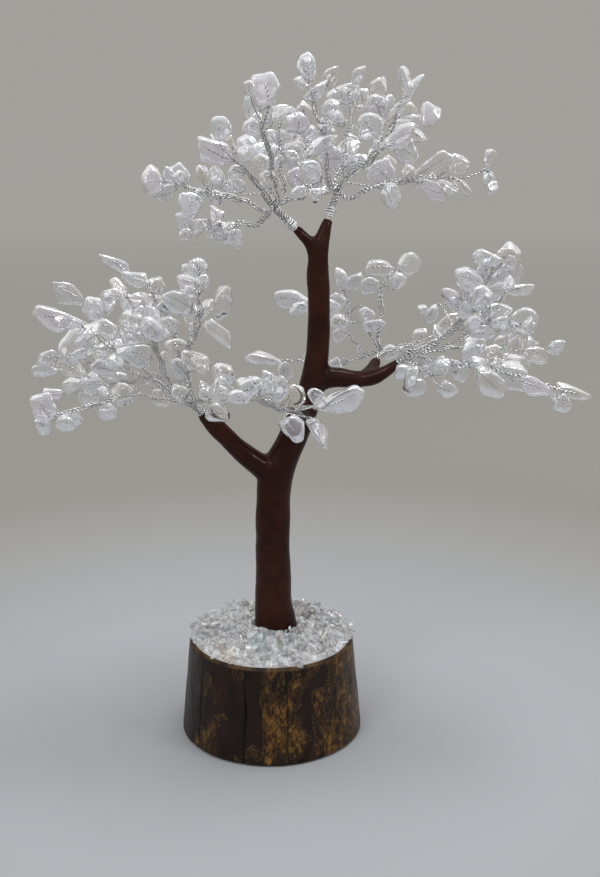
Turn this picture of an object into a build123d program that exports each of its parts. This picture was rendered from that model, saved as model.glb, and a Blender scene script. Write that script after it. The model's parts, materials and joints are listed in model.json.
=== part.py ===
from build123d import *

import math
import os
import random

import numpy as np

# Gemstone tree ornament: tumbled quartz chips threaded on sprays of twisted wire. The wires run down inside
# a hand-moulded resin trunk into a socket in a wood base, whose top carries crushed crystal in clear glue.
# Frame: +Z up, origin at the centre of the base's underside, the viewer stands towards -Y. Millimetres.

# Wood base: a tapered log slice with a blind socket for the wire stems
BASE_HEIGHT = 39.5
BASE_BOTTOM_RADIUS = 37.5
BASE_TOP_RADIUS = 33.6
BASE_EDGE_ROUND = 1.2
SOCKET_RADIUS = 6.0
SOCKET_DEPTH = 24.0
GLUE_CLEARANCE = 0.05

# Glue bed with its crushed crystal on top of the base
BED_MARGIN = 0.6
BED_RIM_HEIGHT = 1.2
BED_CROWN_HEIGHT = 4.4
BED_FOOT_GAP = 0.4
GRAVEL_SPACING = 4.3
GRAVEL_LIFT = 0.1
GRAVEL_SIDES = 5
GRAVEL_HALF_WIDTH_SHARE = 0.44
GRAVEL_LEVEL_SHARES = ((0.0, 0.75), (0.45, 1.0), (1.0, 0.55))
GRAVEL_HEIGHT_SHARES = (0.45, 0.75)
GRAVEL_WIDTH_SHARES = (0.85, 1.0)
GRAVEL_CORNER_SHIFT_SHARE = 0.3
GRAVEL_SEED = 11

# Trunk and limbs. A row holds the place of a section's centre as shares of TRUNK_RISE (x, y, and height above
# the base) and the section's radius as a share of TRUNK_RADIUS.
TRUNK_RISE = 170.0
TRUNK_RADIUS = 7.0
LIMB_SAMPLES = 2
TRUNK_SHARES = (
    (0.011, 0.000, 0.000, 1.31), (0.006, 0.000, 0.088, 1.06), (0.005, 0.000, 0.190, 1.01),
    (0.005, 0.000, 0.315, 0.97), (0.013, 0.000, 0.400, 0.97), (0.046, 0.000, 0.477, 0.82),
    (0.076, 0.000, 0.551, 0.74), (0.098, 0.000, 0.621, 0.72), (0.109, 0.000, 0.695, 0.66),
    (0.112, 0.000, 0.786, 0.63), (0.109, 0.000, 0.876, 0.60), (0.113, 0.000, 0.925, 0.52),
    (0.124, 0.006, 0.964, 0.38), (0.132, 0.010, 0.988, 0.27),
)
LIMB_SHARES = {
    "left": (
        (0.013, 0.000, 0.393, 0.79), (-0.028, -0.012, 0.430, 0.66), (-0.069, -0.029, 0.468, 0.58),
        (-0.108, -0.047, 0.513, 0.55), (-0.134, -0.059, 0.544, 0.46), (-0.151, -0.065, 0.564, 0.35),
    ),
    "right": (
        (0.088, 0.000, 0.622, 0.62), (0.149, 0.000, 0.632, 0.60), (0.194, -0.006, 0.629, 0.52),
        (0.236, -0.012, 0.635, 0.47), (0.268, -0.018, 0.652, 0.36), (0.292, -0.024, 0.672, 0.27),
    ),
    "front": (
        (0.078, 0.000, 0.546, 0.56), (0.064, -0.071, 0.568, 0.40), (0.054, -0.129, 0.586, 0.27),
    ),
    "back": (
        (0.224, -0.006, 0.634, 0.42), (0.236, 0.029, 0.650, 0.36), (0.247, 0.053, 0.662, 0.29),
    ),
    "top_left": (
        (0.109, 0.000, 0.894, 0.45), (0.091, -0.006, 0.934, 0.37), (0.071, -0.012, 0.956, 0.30),
        (0.058, -0.016, 0.969, 0.27),
    ),
}

# Wire stems: one bundle per spray, side by side in the trunk. A stem follows the trunk's sections up to the
# one numbered here, then the sections of its limb. The right and back stems share the right limb at first, up
# to the section numbered here.
STEM_DIAMETER = 2.2
STEM_RING_RADIUS = 2.4
STEM_ANGLES = {"left": 180, "front": 240, "right": 300, "back": 0, "top_right": 60, "top_left": 120}
STEM_LEAVES_TRUNK_AT = {"left": 4, "front": 6, "right": 7, "back": 7, "top_right": 11, "top_left": 10}
SHARED_LIMB_UP_TO = {"right": 4, "back": 3}

# Wire windings where the two top sprays leave the trunk, and the bare bundle that every spray bends at
WOUND_SPRAYS = ("top_left", "top_right")
WINDING_WIRE_DIAMETER = 0.8
WINDING_GAP = 0.45
WINDING_CLEARANCE = 0.1
WINDING_TURNS = 3
WINDING_SAMPLES = 400
NECK_LENGTH = 4.0
LEAST_COUNT_WITH_CORE = 7

# Wires of the sprays
WIRE_SIDES = 6
BRANCH_WIRE_DIAMETER = 1.0
TWIG_WIRE_DIAMETER = 0.85
WIRE_LEAD = 1.6
WIRE_END = 0.9
TWIG_LAP = 3.0
TWIG_START = 7.0
LAP_CLEARANCE = 0.1
WIRE_CLEARANCE = 0.05
BRANCH_SAMPLES = 2
TWIG_SAMPLES = 3
TWIG_STARTS_TRIED = 3
TWIG_PULL_SHARE = 0.55
TWIG_LAP_SHARE = 0.8
TWIG_LEAVE_SHARE = 0.9
NECK_STRETCHES = 3

# Quartz chips
BORE_CLEARANCE = 0.06
CHIP_LEAST_HALF_WIDTH = 1.7
CHIP_MOST_HALF_THICKNESS = 3.4
CHIP_LEAST_LENGTH = 4.2
CHIP_SIDES = 6
CHIP_LEVEL_SHARES = ((0.0, 0.70), (0.24, 1.0), (0.70, 0.96), (1.0, 0.62))
CHIP_THICKNESS_SHARES = (0.55, 0.85)
CHIP_CORNER_SHARES = (0.98, 1.14)
CHIP_CORNER_SHIFT_SHARE = 0.35
CHIP_NARROW_SHARE = 1.2
CHIP_LEAN_SHARE = 0.45
CHIP_CAPSULE_SHARE = 0.75
CHIP_GAP = 0.25
SPRAY_GAP = 3.5
DEPTH_STEP = 1.5
DEPTH_TRIES = 45
DEPTH_JITTER = 5.0
CROWN_DEPTH = 40.0
CHIP_SEED = 7

# Two directions count as crossing when the sine of the angle between them is at least this
LEAST_CROSSING = 0.2

# Sight line of the photograph in which the spray tables below are read, and its pixels
VIEW_SIDE = 11.7
VIEW_DISTANCE = 456.0
VIEW_HEIGHT = 241.2
VIEW_PITCH = 14.6
FOCAL_PIXELS = 1200.0
CENTRE_PIXELS = (300.0, 438.5)

# Pixel where each spray's limb ends
ROOT_PIXELS = {
    "left": (202, 413), "front": (293, 410), "right": (399, 362), "back": (377, 360),
    "top_left": (295, 228), "top_right": (328, 218),
}

# Branches of each spray, read from the photograph. A row holds the depth of the branch's tip as a share of
# CROWN_DEPTH (negative is towards the viewer), the pixels that its wire passes, and its chips as base pixel,
# tip pixel and width in pixels. The first chip sits on the branch's tip, the others on side twigs.
SPRAY_PIXELS = {
    "top_left": (
        (-0.20, ((262, 209), (240, 199), (212, 194), (185, 186)),
         ((161, 181, 142, 181, 21), (184, 183, 176, 167, 15), (206, 184, 200, 167, 10),
          (196, 196, 186, 213, 18),
          (172, 191, 157, 196, 12), (228, 193, 214, 179, 13))),
        (0.40, ((258, 222), (236, 224), (212, 227)),
         ((190, 228, 178, 219, 14), (187, 229, 184, 240, 10), (205, 222, 194, 231, 9),
          (215, 228, 212, 240, 9),
          (223, 229, 225, 240, 9), (233, 231, 238, 246, 12))),
        (-0.65, ((268, 200), (255, 183), (243, 167)),
         ((226, 158, 199, 143, 15), (220, 138, 220, 118, 17), (243, 173, 231, 168, 11),
          (219, 183, 215, 169, 9),
          (240, 190, 229, 178, 12))),
        (0.70, ((274, 200), (266, 182), (262, 165)),
         ((257, 150, 236, 146, 20), (270, 163, 252, 160, 13))),
        (-0.05, ((279, 198), (272, 175), (268, 150), (262, 132)),
         ((268, 101, 263, 74, 24), (270, 121, 262, 103, 18), (252, 120, 247, 98, 13), (250, 94, 248, 84, 9),
          (258, 124, 247, 131, 14))),
        (0.25, ((287, 198), (281, 175), (279, 150)),
         ((281, 121, 286, 105, 14), (288, 158, 300, 146, 15), (281, 146, 286, 131, 15),
          (295, 133, 300, 114, 19))),
        (0.90, ((293, 198), (297, 180), (303, 160), (306, 140)),
         ((305, 122, 303, 104, 13), (304, 140, 313, 128, 12), (298, 160, 288, 150, 13),
          (299, 148, 290, 137, 12))),
        (1.05, ((277, 196), (270, 170), (262, 152)),
         ((252, 138, 246, 125, 13), (266, 160, 256, 167, 12), (272, 178, 262, 176, 12),
          (260, 150, 270, 140, 12))),
    ),
    "top_right": (
        (-0.25, ((347, 199), (377, 184), (400, 181), (425, 177), (455, 178), (472, 175)),
         ((486, 173, 494, 192, 10), (450, 168, 468, 160, 13), (456, 180, 471, 195, 9),
          (420, 172, 447, 154, 13),
          (423, 184, 444, 195, 13), (386, 185, 393, 205, 16))),
        (-0.10, ((327, 180), (326, 155), (322, 133), (314, 110)),
         ((308, 77, 306, 53, 15), (322, 90, 334, 67, 12), (311, 152, 337, 136, 11),
          (326, 115, 334, 101, 14),
          (341, 122, 333, 112, 10), (319, 141, 328, 126, 12))),
        (0.55, ((335, 183), (344, 160), (347, 137), (350, 118)),
         ((352, 100, 344, 86, 20), (353, 82, 363, 67, 9), (362, 104, 358, 88, 14), (347, 150, 358, 143, 9),
          (322, 158, 348, 160, 18))),
        (-0.50, ((341, 184), (355, 169), (372, 158), (381, 145), (389, 129)),
         ((404, 97, 419, 78, 9), (422, 116, 438, 112, 17), (386, 146, 411, 126, 12),
          (395, 145, 416, 156, 20), (400, 124, 420, 119, 9),
          (408, 132, 425, 138, 9), (375, 134, 363, 116, 22))),
        (0.75, ((343, 182), (360, 165), (376, 150)),
         ((380, 118, 373, 98, 20), (371, 93, 383, 83, 14), (386, 182, 372, 163, 20),
          (392, 172, 384, 158, 14),
          (347, 166, 366, 158, 14), (404, 119, 412, 104, 16), (384, 121, 389, 104, 12))),
        (-0.35, ((321, 192),),
         ((304, 183, 290, 172, 15), (306, 190, 291, 194, 9), (312, 189, 316, 200, 9),
          (318, 176, 305, 163, 15))),
        (1.10, ((336, 178), (352, 150)),
         ((366, 128, 372, 112, 14), (352, 150, 340, 143, 13), (345, 163, 356, 170, 12),
          (340, 113, 331, 90, 18))),
    ),
    "left": (
        (-0.35, ((168, 389), (138, 366), (110, 347), (92, 333)),
         ((76, 324, 39, 312, 15), (80, 327, 84, 352, 28), (116, 352, 99, 346, 11), (117, 332, 95, 325, 14),
          (148, 358, 122, 350, 15))),
        (0.25, ((166, 391), (136, 372), (112, 366), (85, 361)),
         ((57, 358, 41, 358, 11), (80, 359, 65, 356, 9), (55, 371, 32, 371, 10), (82, 372, 57, 363, 12),
          (112, 370, 92, 364, 12), (116, 362, 98, 355, 11))),
        (-0.65, ((172, 401), (150, 397), (133, 395), (112, 399), (93, 407), (70, 411)),
         ((40, 420, 46, 434, 10), (50, 416, 38, 397, 20), (60, 419, 70, 431, 12), (66, 417, 81, 421, 9),
          (103, 407, 114, 419, 11), (130, 389, 114, 398, 17), (171, 398, 153, 397, 15))),
        (-0.15, ((190, 390), (190, 365), (188, 348), (194, 335), (199, 320), (199, 302)),
         ((199, 276, 196, 260, 15), (195, 289, 180, 279, 15), (203, 287, 206, 277, 9),
          (215, 304, 229, 306, 29),
          (207, 323, 229, 340, 9), (192, 309, 167, 295, 18), (183, 356, 211, 368, 15))),
        (0.60, ((186, 380), (180, 350), (172, 325), (160, 305), (146, 286)),
         ((128, 272, 104, 255, 10), (145, 283, 122, 277, 12), (163, 308, 146, 295, 14),
          (172, 333, 166, 318, 14),
          (187, 350, 168, 343, 14))),
        (-0.85, ((172, 385), (158, 355), (145, 328), (132, 305)),
         ((126, 296, 110, 280, 9), (133, 313, 121, 296, 12), (141, 325, 121, 319, 17),
          (160, 335, 144, 322, 16), (158, 322, 146, 309, 12),
          (141, 342, 122, 333, 14))),
        (0.95, ((168, 385), (140, 358), (118, 335), (105, 322)),
         ((82, 302, 57, 285, 15), (100, 318, 86, 300, 15), (168, 353, 164, 373, 12),
          (185, 376, 174, 360, 14),
          (150, 313, 133, 297, 20))),
        (0.65, ((170, 397), (140, 382), (115, 384), (95, 390)),
         ((78, 383, 63, 390, 11), (104, 386, 84, 384, 12), (98, 396, 78, 399, 12), (107, 374, 125, 379, 9),
          (60, 394, 46, 393, 9))),
        (-0.55, ((205, 398), (214, 390)),
         ((222, 382, 228, 364, 19), (212, 398, 230, 388, 18), (208, 400, 204, 389, 10),
          (208, 408, 228, 413, 15),
          (184, 398, 173, 387, 13))),
    ),
    "front": (
        (-0.15, ((277, 409), (264, 404)),
         ((253, 394, 240, 383, 17), (284, 395, 263, 394, 9), (262, 389, 251, 378, 13),
          (273, 387, 268, 374, 11), (246, 399, 230, 393, 13), (279, 396, 283, 379, 12))),
        (-0.25, ((308, 406),),
         ((328, 405, 363, 394, 18), (322, 401, 310, 391, 13), (292, 407, 299, 387, 18))),
        (-0.05, ((304, 417),),
         ((312, 421, 323, 437, 12), (288, 419, 300, 436, 16))),
    ),
    "right": (
        (-0.20, ((428, 347), (448, 334), (463, 318), (474, 300), (485, 284)),
         ((498, 264, 519, 251, 19), (503, 268, 517, 285, 21), (497, 261, 474, 256, 13),
          (485, 287, 480, 269, 13),
          (488, 293, 507, 288, 13), (487, 309, 500, 298, 12))),
        (0.45, ((427, 349), (449, 333), (461, 320), (466, 303)),
         ((478, 284, 457, 275, 17), (464, 300, 470, 287, 11), (457, 298, 443, 294, 11),
          (476, 308, 488, 291, 19))),
        (-0.60, ((430, 352), (455, 341), (475, 329), (494, 319)),
         ((512, 325, 536, 314, 20), (492, 316, 508, 309, 12), (502, 325, 516, 334, 12),
          (487, 323, 476, 329, 9),
          (494, 331, 472, 334, 9), (494, 325, 508, 319, 9))),
        (0.15, ((430, 360), (450, 361), (466, 364), (484, 361)),
         ((504, 362, 529, 366, 13), (503, 366, 515, 386, 21), (510, 354, 522, 341, 15),
          (527, 351, 545, 360, 13),
          (484, 358, 498, 349, 12), (466, 357, 482, 343, 15))),
        (-0.45, ((438, 362), (465, 366), (490, 370), (510, 374), (530, 379)),
         ((558, 389, 582, 396, 11), (551, 388, 556, 400, 9), (522, 380, 546, 391, 12),
          (480, 373, 503, 395, 17))),
        (0.85, ((435, 352), (470, 346), (510, 352)),
         ((549, 351, 563, 342, 9), (524, 352, 534, 341, 12), (498, 350, 506, 338, 12),
          (476, 346, 488, 356, 12))),
        (-0.40, ((415, 368), (430, 373)),
         ((440, 386, 453, 394, 13), (420, 362, 434, 368, 11), (407, 366, 399, 378, 12),
          (418, 380, 411, 395, 15),
          (414, 367, 408, 384, 11))),
        (-0.90, ((430, 345), (455, 328), (475, 318), (495, 307)),
         ((510, 291, 534, 290, 9), (478, 316, 470, 328, 10))),
        (1.10, ((428, 344), (452, 326)),
         ((436, 307, 427, 320, 9), (458, 318, 440, 326, 13))),
    ),
    "back": (
        (0.25, ((379, 344), (380, 325), (383, 306), (381, 292), (388, 276)),
         ((401, 270, 418, 258, 17), (391, 270, 367, 267, 14), (393, 287, 402, 276, 13),
          (377, 284, 362, 288, 12),
          (378, 323, 364, 328, 9))),
        (0.75, ((374, 340), (365, 323), (350, 321), (349, 305)),
         ((343, 288, 340, 270, 12), (348, 287, 362, 276, 12), (345, 303, 332, 297, 9),
          (363, 309, 369, 320, 9),
          (346, 322, 331, 321, 11))),
        (1.10, ((362, 356), (355, 343), (341, 328), (322, 312)),
         ((305, 302, 275, 298, 13), (305, 306, 292, 312, 9), (330, 316, 336, 303, 12),
          (345, 332, 333, 337, 11))),
        (0.65, ((358, 359), (340, 362), (315, 362), (295, 359)),
         ((276, 361, 251, 358, 9), (315, 362, 306, 351, 12), (340, 362, 331, 371, 11),
          (284, 364, 287, 379, 12))),
        (0.95, ((396, 350), (415, 343), (435, 336)),
         ((452, 325, 462, 314, 11), (383, 356, 397, 349, 11), (415, 343, 424, 332, 12),
          (400, 348, 409, 357, 11))),
    ),
}


def unit(vector):
    return vector / np.linalg.norm(vector)


def seen(pixel, depth):
    """The point at this depth (its Y) that the photograph shows at this pixel."""
    pitch = math.radians(VIEW_PITCH)
    across = pixel[0] - CENTRE_PIXELS[0]
    down = pixel[1] - CENTRE_PIXELS[1]
    ray = np.array([
        across,
        FOCAL_PIXELS * math.cos(pitch) - down * math.sin(pitch),
        -FOCAL_PIXELS * math.sin(pitch) - down * math.cos(pitch),
    ])
    eye = np.array([VIEW_SIDE, -VIEW_DISTANCE, VIEW_HEIGHT])
    return eye + ray * (depth - eye[1]) / ray[1]


def side_axes(direction):
    """Two unit vectors square to a direction: the first across the view, the second mostly along the view."""
    along_view = np.array([0.0, 1.0, 0.0])
    across = np.cross(direction, along_view)
    if np.linalg.norm(across) < LEAST_CROSSING:
        across = np.cross(direction, np.array([0.0, 0.0, 1.0]))
    across = unit(across)
    return across, np.cross(across, direction)


def polygon_face(corners, hole=None):
    outer = Wire.make_polygon([Vector(*corner) for corner in corners], close=True)
    if hole is None:
        return Face(outer)
    return Face(outer, [Wire.make_polygon([Vector(*corner) for corner in hole], close=True)])


def side_faces(rings):
    faces = []
    for low, high in zip(rings, rings[1:]):
        count = len(low)
        for index in range(count):
            after = (index + 1) % count
            faces.append(polygon_face([low[index], low[after], high[after], high[index]]))
    return faces


def faceted_solid(rings, bore=None):
    """A closed solid through rings of corners with flat sides, with an optional bore from end to end."""
    faces = side_faces(rings)
    if bore is None:
        faces.append(polygon_face(rings[0][::-1]))
        faces.append(polygon_face(rings[-1]))
    else:
        faces.append(polygon_face(rings[0][::-1], bore[0]))
        faces.append(polygon_face(rings[-1], bore[1]))
        faces.extend(side_faces([bore[0][::-1], bore[1][::-1]]))
    return Solid(Shell(faces))


def regular_ring(centre, direction, radius, sides):
    across, along = side_axes(direction)
    angles = [2 * math.pi * index / sides for index in range(sides)]
    return [centre + radius * (math.cos(angle) * across + math.sin(angle) * along) for angle in angles]


def wire_tube(points, radius):
    """A flat-sided wire along a route, mitred where it bends."""
    points = [np.asarray(point) for point in points]
    directions = [unit(after - before) for before, after in zip(points, points[1:])]
    rings = [regular_ring(points[0], directions[0], radius, WIRE_SIDES)]
    for index, direction in enumerate(directions):
        point = points[index + 1]
        last = index + 1 == len(directions)
        normal = direction if last else unit(direction + directions[index + 1])
        ring = []
        for corner in rings[-1]:
            reach = np.dot(point - corner, normal) / np.dot(direction, normal)
            ring.append(corner + reach * direction)
        rings.append(ring)
    return faceted_solid(rings)


def smooth_route(points, samples):
    """Points of a smooth curve through the given ones, with this many steps to each span."""
    points = [np.asarray(point) for point in points]
    padded = [2 * points[0] - points[1]] + points + [2 * points[-1] - points[-2]]
    route = [points[0]]
    for before, start, end, after in zip(padded, padded[1:], padded[2:], padded[3:]):
        for step in range(1, samples + 1):
            t = step / samples
            route.append(0.5 * (
                2 * start + (end - before) * t
                + (2 * before - 5 * start + 4 * end - after) * t ** 2
                + (3 * start - before - 3 * end + after) * t ** 3
            ))
    return route


def bend_route(start, leaving, end, arriving, samples):
    """Inner points of a curve that leaves one point and arrives at another in the given directions."""
    pull = TWIG_PULL_SHARE * np.linalg.norm(end - start)
    route = []
    for step in range(1, samples + 1):
        t = step / (samples + 1)
        route.append(
            (2 * t ** 3 - 3 * t ** 2 + 1) * start + (t ** 3 - 2 * t ** 2 + t) * pull * leaving
            + (3 * t ** 2 - 2 * t ** 3) * end + (t ** 3 - t ** 2) * pull * arriving
        )
    return route


# Where the trunk and its limbs run

def section_centre(row):
    return np.array([row[0] * TRUNK_RISE, row[1] * TRUNK_RISE, BASE_HEIGHT + row[2] * TRUNK_RISE])


def limb_rows(spray):
    return TRUNK_SHARES if spray == "top_right" else LIMB_SHARES[spray]


class Spray:
    """Where a spray leaves its limb: the limb's end, its direction, and its neck, which is as thick as the
    ring of branch wires that starts on it."""

    def __init__(self, name):
        rows = limb_rows(name)
        self.name = name
        self.limb_end = section_centre(rows[-1])
        self.direction = unit(self.limb_end - section_centre(rows[-2]))
        bare_length = WINDING_LENGTH if name in WOUND_SPRAYS else 0.0
        self.neck_start = self.limb_end + bare_length * self.direction
        self.neck_end = self.neck_start + NECK_LENGTH * self.direction
        branch_count = len(SPRAY_PIXELS[name])
        self.has_core = branch_count >= LEAST_COUNT_WITH_CORE
        self.ring_count = branch_count - 1 if self.has_core else branch_count
        self.ring_radius = (BRANCH_WIRE_DIAMETER + WIRE_CLEARANCE) / 2 / math.sin(math.pi / self.ring_count)
        self.neck_radius = self.ring_radius + BRANCH_WIRE_DIAMETER / 2
        self.root_seen = seen(ROOT_PIXELS[name], self.limb_end[1])

    def place(self, pixel, depth):
        """The point that a pixel shows at a depth behind the limb's end, carried along with that end."""
        return self.limb_end + seen(pixel, self.limb_end[1] + depth) - self.root_seen


WINDING_PITCH = WINDING_WIRE_DIAMETER + WINDING_GAP
WINDING_LENGTH = WINDING_TURNS * WINDING_PITCH + 2 * WINDING_WIRE_DIAMETER
FOOT_CENTRE = section_centre(TRUNK_SHARES[0])
FOOT_RADIUS = TRUNK_SHARES[0][3] * TRUNK_RADIUS
SPRAYS = {name: Spray(name) for name in SPRAY_PIXELS}


# Base, glue and crushed crystal

def wood_base():
    centred_foot = (Align.CENTER, Align.CENTER, Align.MIN)
    log = Cone(BASE_BOTTOM_RADIUS, BASE_TOP_RADIUS, BASE_HEIGHT, align=centred_foot)
    log = fillet(log.edges().filter_by(GeomType.CIRCLE), BASE_EDGE_ROUND)
    socket = Cylinder(SOCKET_RADIUS, SOCKET_DEPTH, align=(Align.CENTER, Align.CENTER, Align.MAX))
    return log - Pos(FOOT_CENTRE[0], FOOT_CENTRE[1], BASE_HEIGHT) * socket


def socket_glue(stems):
    hung = (Align.CENTER, Align.CENTER, Align.MAX)
    plug = Cylinder(SOCKET_RADIUS - GLUE_CLEARANCE, SOCKET_DEPTH, align=hung)
    return Pos(FOOT_CENTRE[0], FOOT_CENTRE[1], BASE_HEIGHT) * plug - stems


BED_RADIUS = BASE_TOP_RADIUS - BASE_EDGE_ROUND - BED_MARGIN


def glue_bed():
    centred_foot = (Align.CENTER, Align.CENTER, Align.MIN)
    rim = Cylinder(BED_RADIUS, BED_RIM_HEIGHT, align=centred_foot)
    crown = Cone(BED_RADIUS, FOOT_RADIUS, BED_CROWN_HEIGHT - BED_RIM_HEIGHT, align=centred_foot)
    bed = Pos(0, 0, BASE_HEIGHT) * (rim + Pos(0, 0, BED_RIM_HEIGHT) * crown)
    hole = Cylinder(FOOT_RADIUS + BED_FOOT_GAP, BED_CROWN_HEIGHT, align=centred_foot)
    return bed - Pos(FOOT_CENTRE[0], FOOT_CENTRE[1], BASE_HEIGHT) * hole


def bed_height(radius):
    share = (BED_RADIUS - radius) / (BED_RADIUS - FOOT_RADIUS)
    return BASE_HEIGHT + BED_RIM_HEIGHT + share * (BED_CROWN_HEIGHT - BED_RIM_HEIGHT)


def gravel_chip(centre, half_width, height, draw):
    """A small flat-sided crumb of crystal, standing on the bed with its top ring leaning a little."""
    angles = [2 * math.pi * (index + GRAVEL_CORNER_SHIFT_SHARE * draw.random()) / GRAVEL_SIDES
              for index in range(GRAVEL_SIDES)]
    rings = []
    for rise_share, width_share in GRAVEL_LEVEL_SHARES:
        rings.append([
            centre + np.array([
                half_width * width_share * math.cos(angle),
                half_width * width_share * math.sin(angle),
                height * rise_share,
            ]) for angle in angles
        ])
    return faceted_solid(rings)


def crushed_crystal():
    draw = random.Random(GRAVEL_SEED)
    half_width = GRAVEL_HALF_WIDTH_SHARE * GRAVEL_SPACING
    inner = FOOT_RADIUS + np.hypot(FOOT_CENTRE[0], FOOT_CENTRE[1]) + half_width
    ring_count = int((BED_RADIUS - half_width - inner) / GRAVEL_SPACING)
    chips = []
    for ring in range(ring_count + 1):
        radius = inner + ring * (BED_RADIUS - half_width - inner) / ring_count
        chip_count = int(2 * math.pi * radius / GRAVEL_SPACING)
        turn = draw.random()
        for index in range(chip_count):
            angle = 2 * math.pi * (index + turn) / chip_count
            width = half_width * draw.uniform(*GRAVEL_WIDTH_SHARES)
            height = GRAVEL_SPACING * draw.uniform(*GRAVEL_HEIGHT_SHARES)
            foot = bed_height(radius - width) + GRAVEL_LIFT
            centre = np.array([radius * math.cos(angle), radius * math.sin(angle), foot])
            chips.append(gravel_chip(centre, width, height, draw))
    return chips


# Trunk, limbs and the stems inside them

def limb_solid(rows):
    """A smooth loft through the rows, with more rows read off a curve between them so that it can't swing out."""
    first_way = unit(section_centre(rows[1]) - section_centre(rows[0]))
    if rows is TRUNK_SHARES:
        first_way = np.array([0.0, 0.0, 1.0])
    last_way = unit(section_centre(rows[-1]) - section_centre(rows[-2]))
    rows = smooth_route(rows, LIMB_SAMPLES)
    centres = [section_centre(row) for row in rows]
    ways = [first_way] + [unit(after - before) for before, after in zip(centres, centres[2:])] + [last_way]
    sections = []
    for centre, way, row in zip(centres, ways, rows):
        across = side_axes(way)[0]
        plane = Plane(origin=tuple(centre), x_dir=tuple(across), z_dir=tuple(way))
        sections.append(plane * Circle(row[3] * TRUNK_RADIUS))
    return loft(sections)


def stem_route(name):
    spray = SPRAYS[name]
    angle = math.radians(STEM_ANGLES[name])
    offset = STEM_RING_RADIUS * np.array([math.cos(angle), math.sin(angle), 0.0])
    last = STEM_LEAVES_TRUNK_AT[name]
    route = [FOOT_CENTRE + offset - np.array([0.0, 0.0, SOCKET_DEPTH])]
    route += [section_centre(row) + offset for row in TRUNK_SHARES[:last + 1]]
    aside = np.array([0.0, STEM_RING_RADIUS / 2, 0.0])
    shared = LIMB_SHARES["right"][1:SHARED_LIMB_UP_TO.get(name, 1)]
    if name == "top_right":
        route += [section_centre(row) for row in TRUNK_SHARES[last + 1:]]
    elif name == "right":
        route += [section_centre(row) - aside for row in shared]
        route += [section_centre(row) for row in LIMB_SHARES["right"][len(shared) + 1:]]
    elif name == "back":
        route += [section_centre(row) + aside for row in shared]
        route += [section_centre(row) for row in LIMB_SHARES["back"][1:]]
    else:
        route += [section_centre(row) for row in LIMB_SHARES[name][1:]]
    if name in WOUND_SPRAYS:
        route.append(spray.neck_start)
    return route


def trunk_coat(stems):
    coat = limb_solid(TRUNK_SHARES)
    for rows in LIMB_SHARES.values():
        coat = coat + limb_solid(rows)
    return coat - stems


def neck_bundle(spray):
    return wire_tube([spray.neck_start, spray.neck_end], spray.neck_radius)


def winding(spray):
    """Turns of thin wire round the bare stem: arcs in pairs through quarter turns, straight at both ends."""
    across, along = side_axes(spray.direction)
    axis = spray.direction
    radius = (STEM_DIAMETER + WINDING_WIRE_DIAMETER) / 2 + WINDING_CLEARANCE
    start = spray.limb_end + WINDING_WIRE_DIAMETER * axis

    def at(turn):
        angle = 2 * math.pi * turn
        around = radius * (math.cos(angle) * across + math.sin(angle) * along)
        return start + around + WINDING_PITCH * turn * axis

    def heading(turn):
        angle = 2 * math.pi * turn
        around = 2 * math.pi * radius * (math.cos(angle) * along - math.sin(angle) * across)
        return unit(around + WINDING_PITCH * axis)

    straight = WINDING_WIRE_DIAMETER
    first = at(0) - straight * heading(0)
    edges = [Edge.make_line(tuple(first), tuple(at(0)))]
    for quarter in range(4 * WINDING_TURNS):
        begin, end = quarter / 4, (quarter + 1) / 4
        chord = at(end) - at(begin)
        both = heading(begin) + heading(end)
        turning = 2 * (1 - np.dot(heading(begin), heading(end)))
        lean = np.dot(chord, both)
        reach = (math.sqrt(lean ** 2 + turning * np.dot(chord, chord)) - lean) / turning
        middle = (at(begin) + reach * heading(begin) + at(end) - reach * heading(end)) / 2
        edges.append(Edge.make_tangent_arc(tuple(at(begin)), tuple(heading(begin)), tuple(middle)))
        between = edges[-1].tangent_at(1)
        edges.append(Edge.make_tangent_arc(tuple(middle), between, tuple(at(end))))
    finish = at(WINDING_TURNS) + straight * heading(WINDING_TURNS)
    edges.append(Edge.make_line(tuple(at(WINDING_TURNS)), tuple(finish)))
    samples = [at(WINDING_TURNS * index / WINDING_SAMPLES) for index in range(WINDING_SAMPLES + 1)]
    half_turn = WINDING_SAMPLES // (2 * WINDING_TURNS)
    least = min(
        np.linalg.norm(sample - later)
        for index, sample in enumerate(samples) for later in samples[index + half_turn:]
    )
    print(f"winding of {spray.name}: least gap to itself {least - WINDING_WIRE_DIAMETER:.2f} mm")
    mouth = Plane(origin=tuple(first), z_dir=tuple(heading(0))) * Circle(WINDING_WIRE_DIAMETER / 2)
    return sweep(mouth, path=Wire(edges))


# Clearance between wires, chips and limbs, each taken as a round-ended bar

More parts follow.
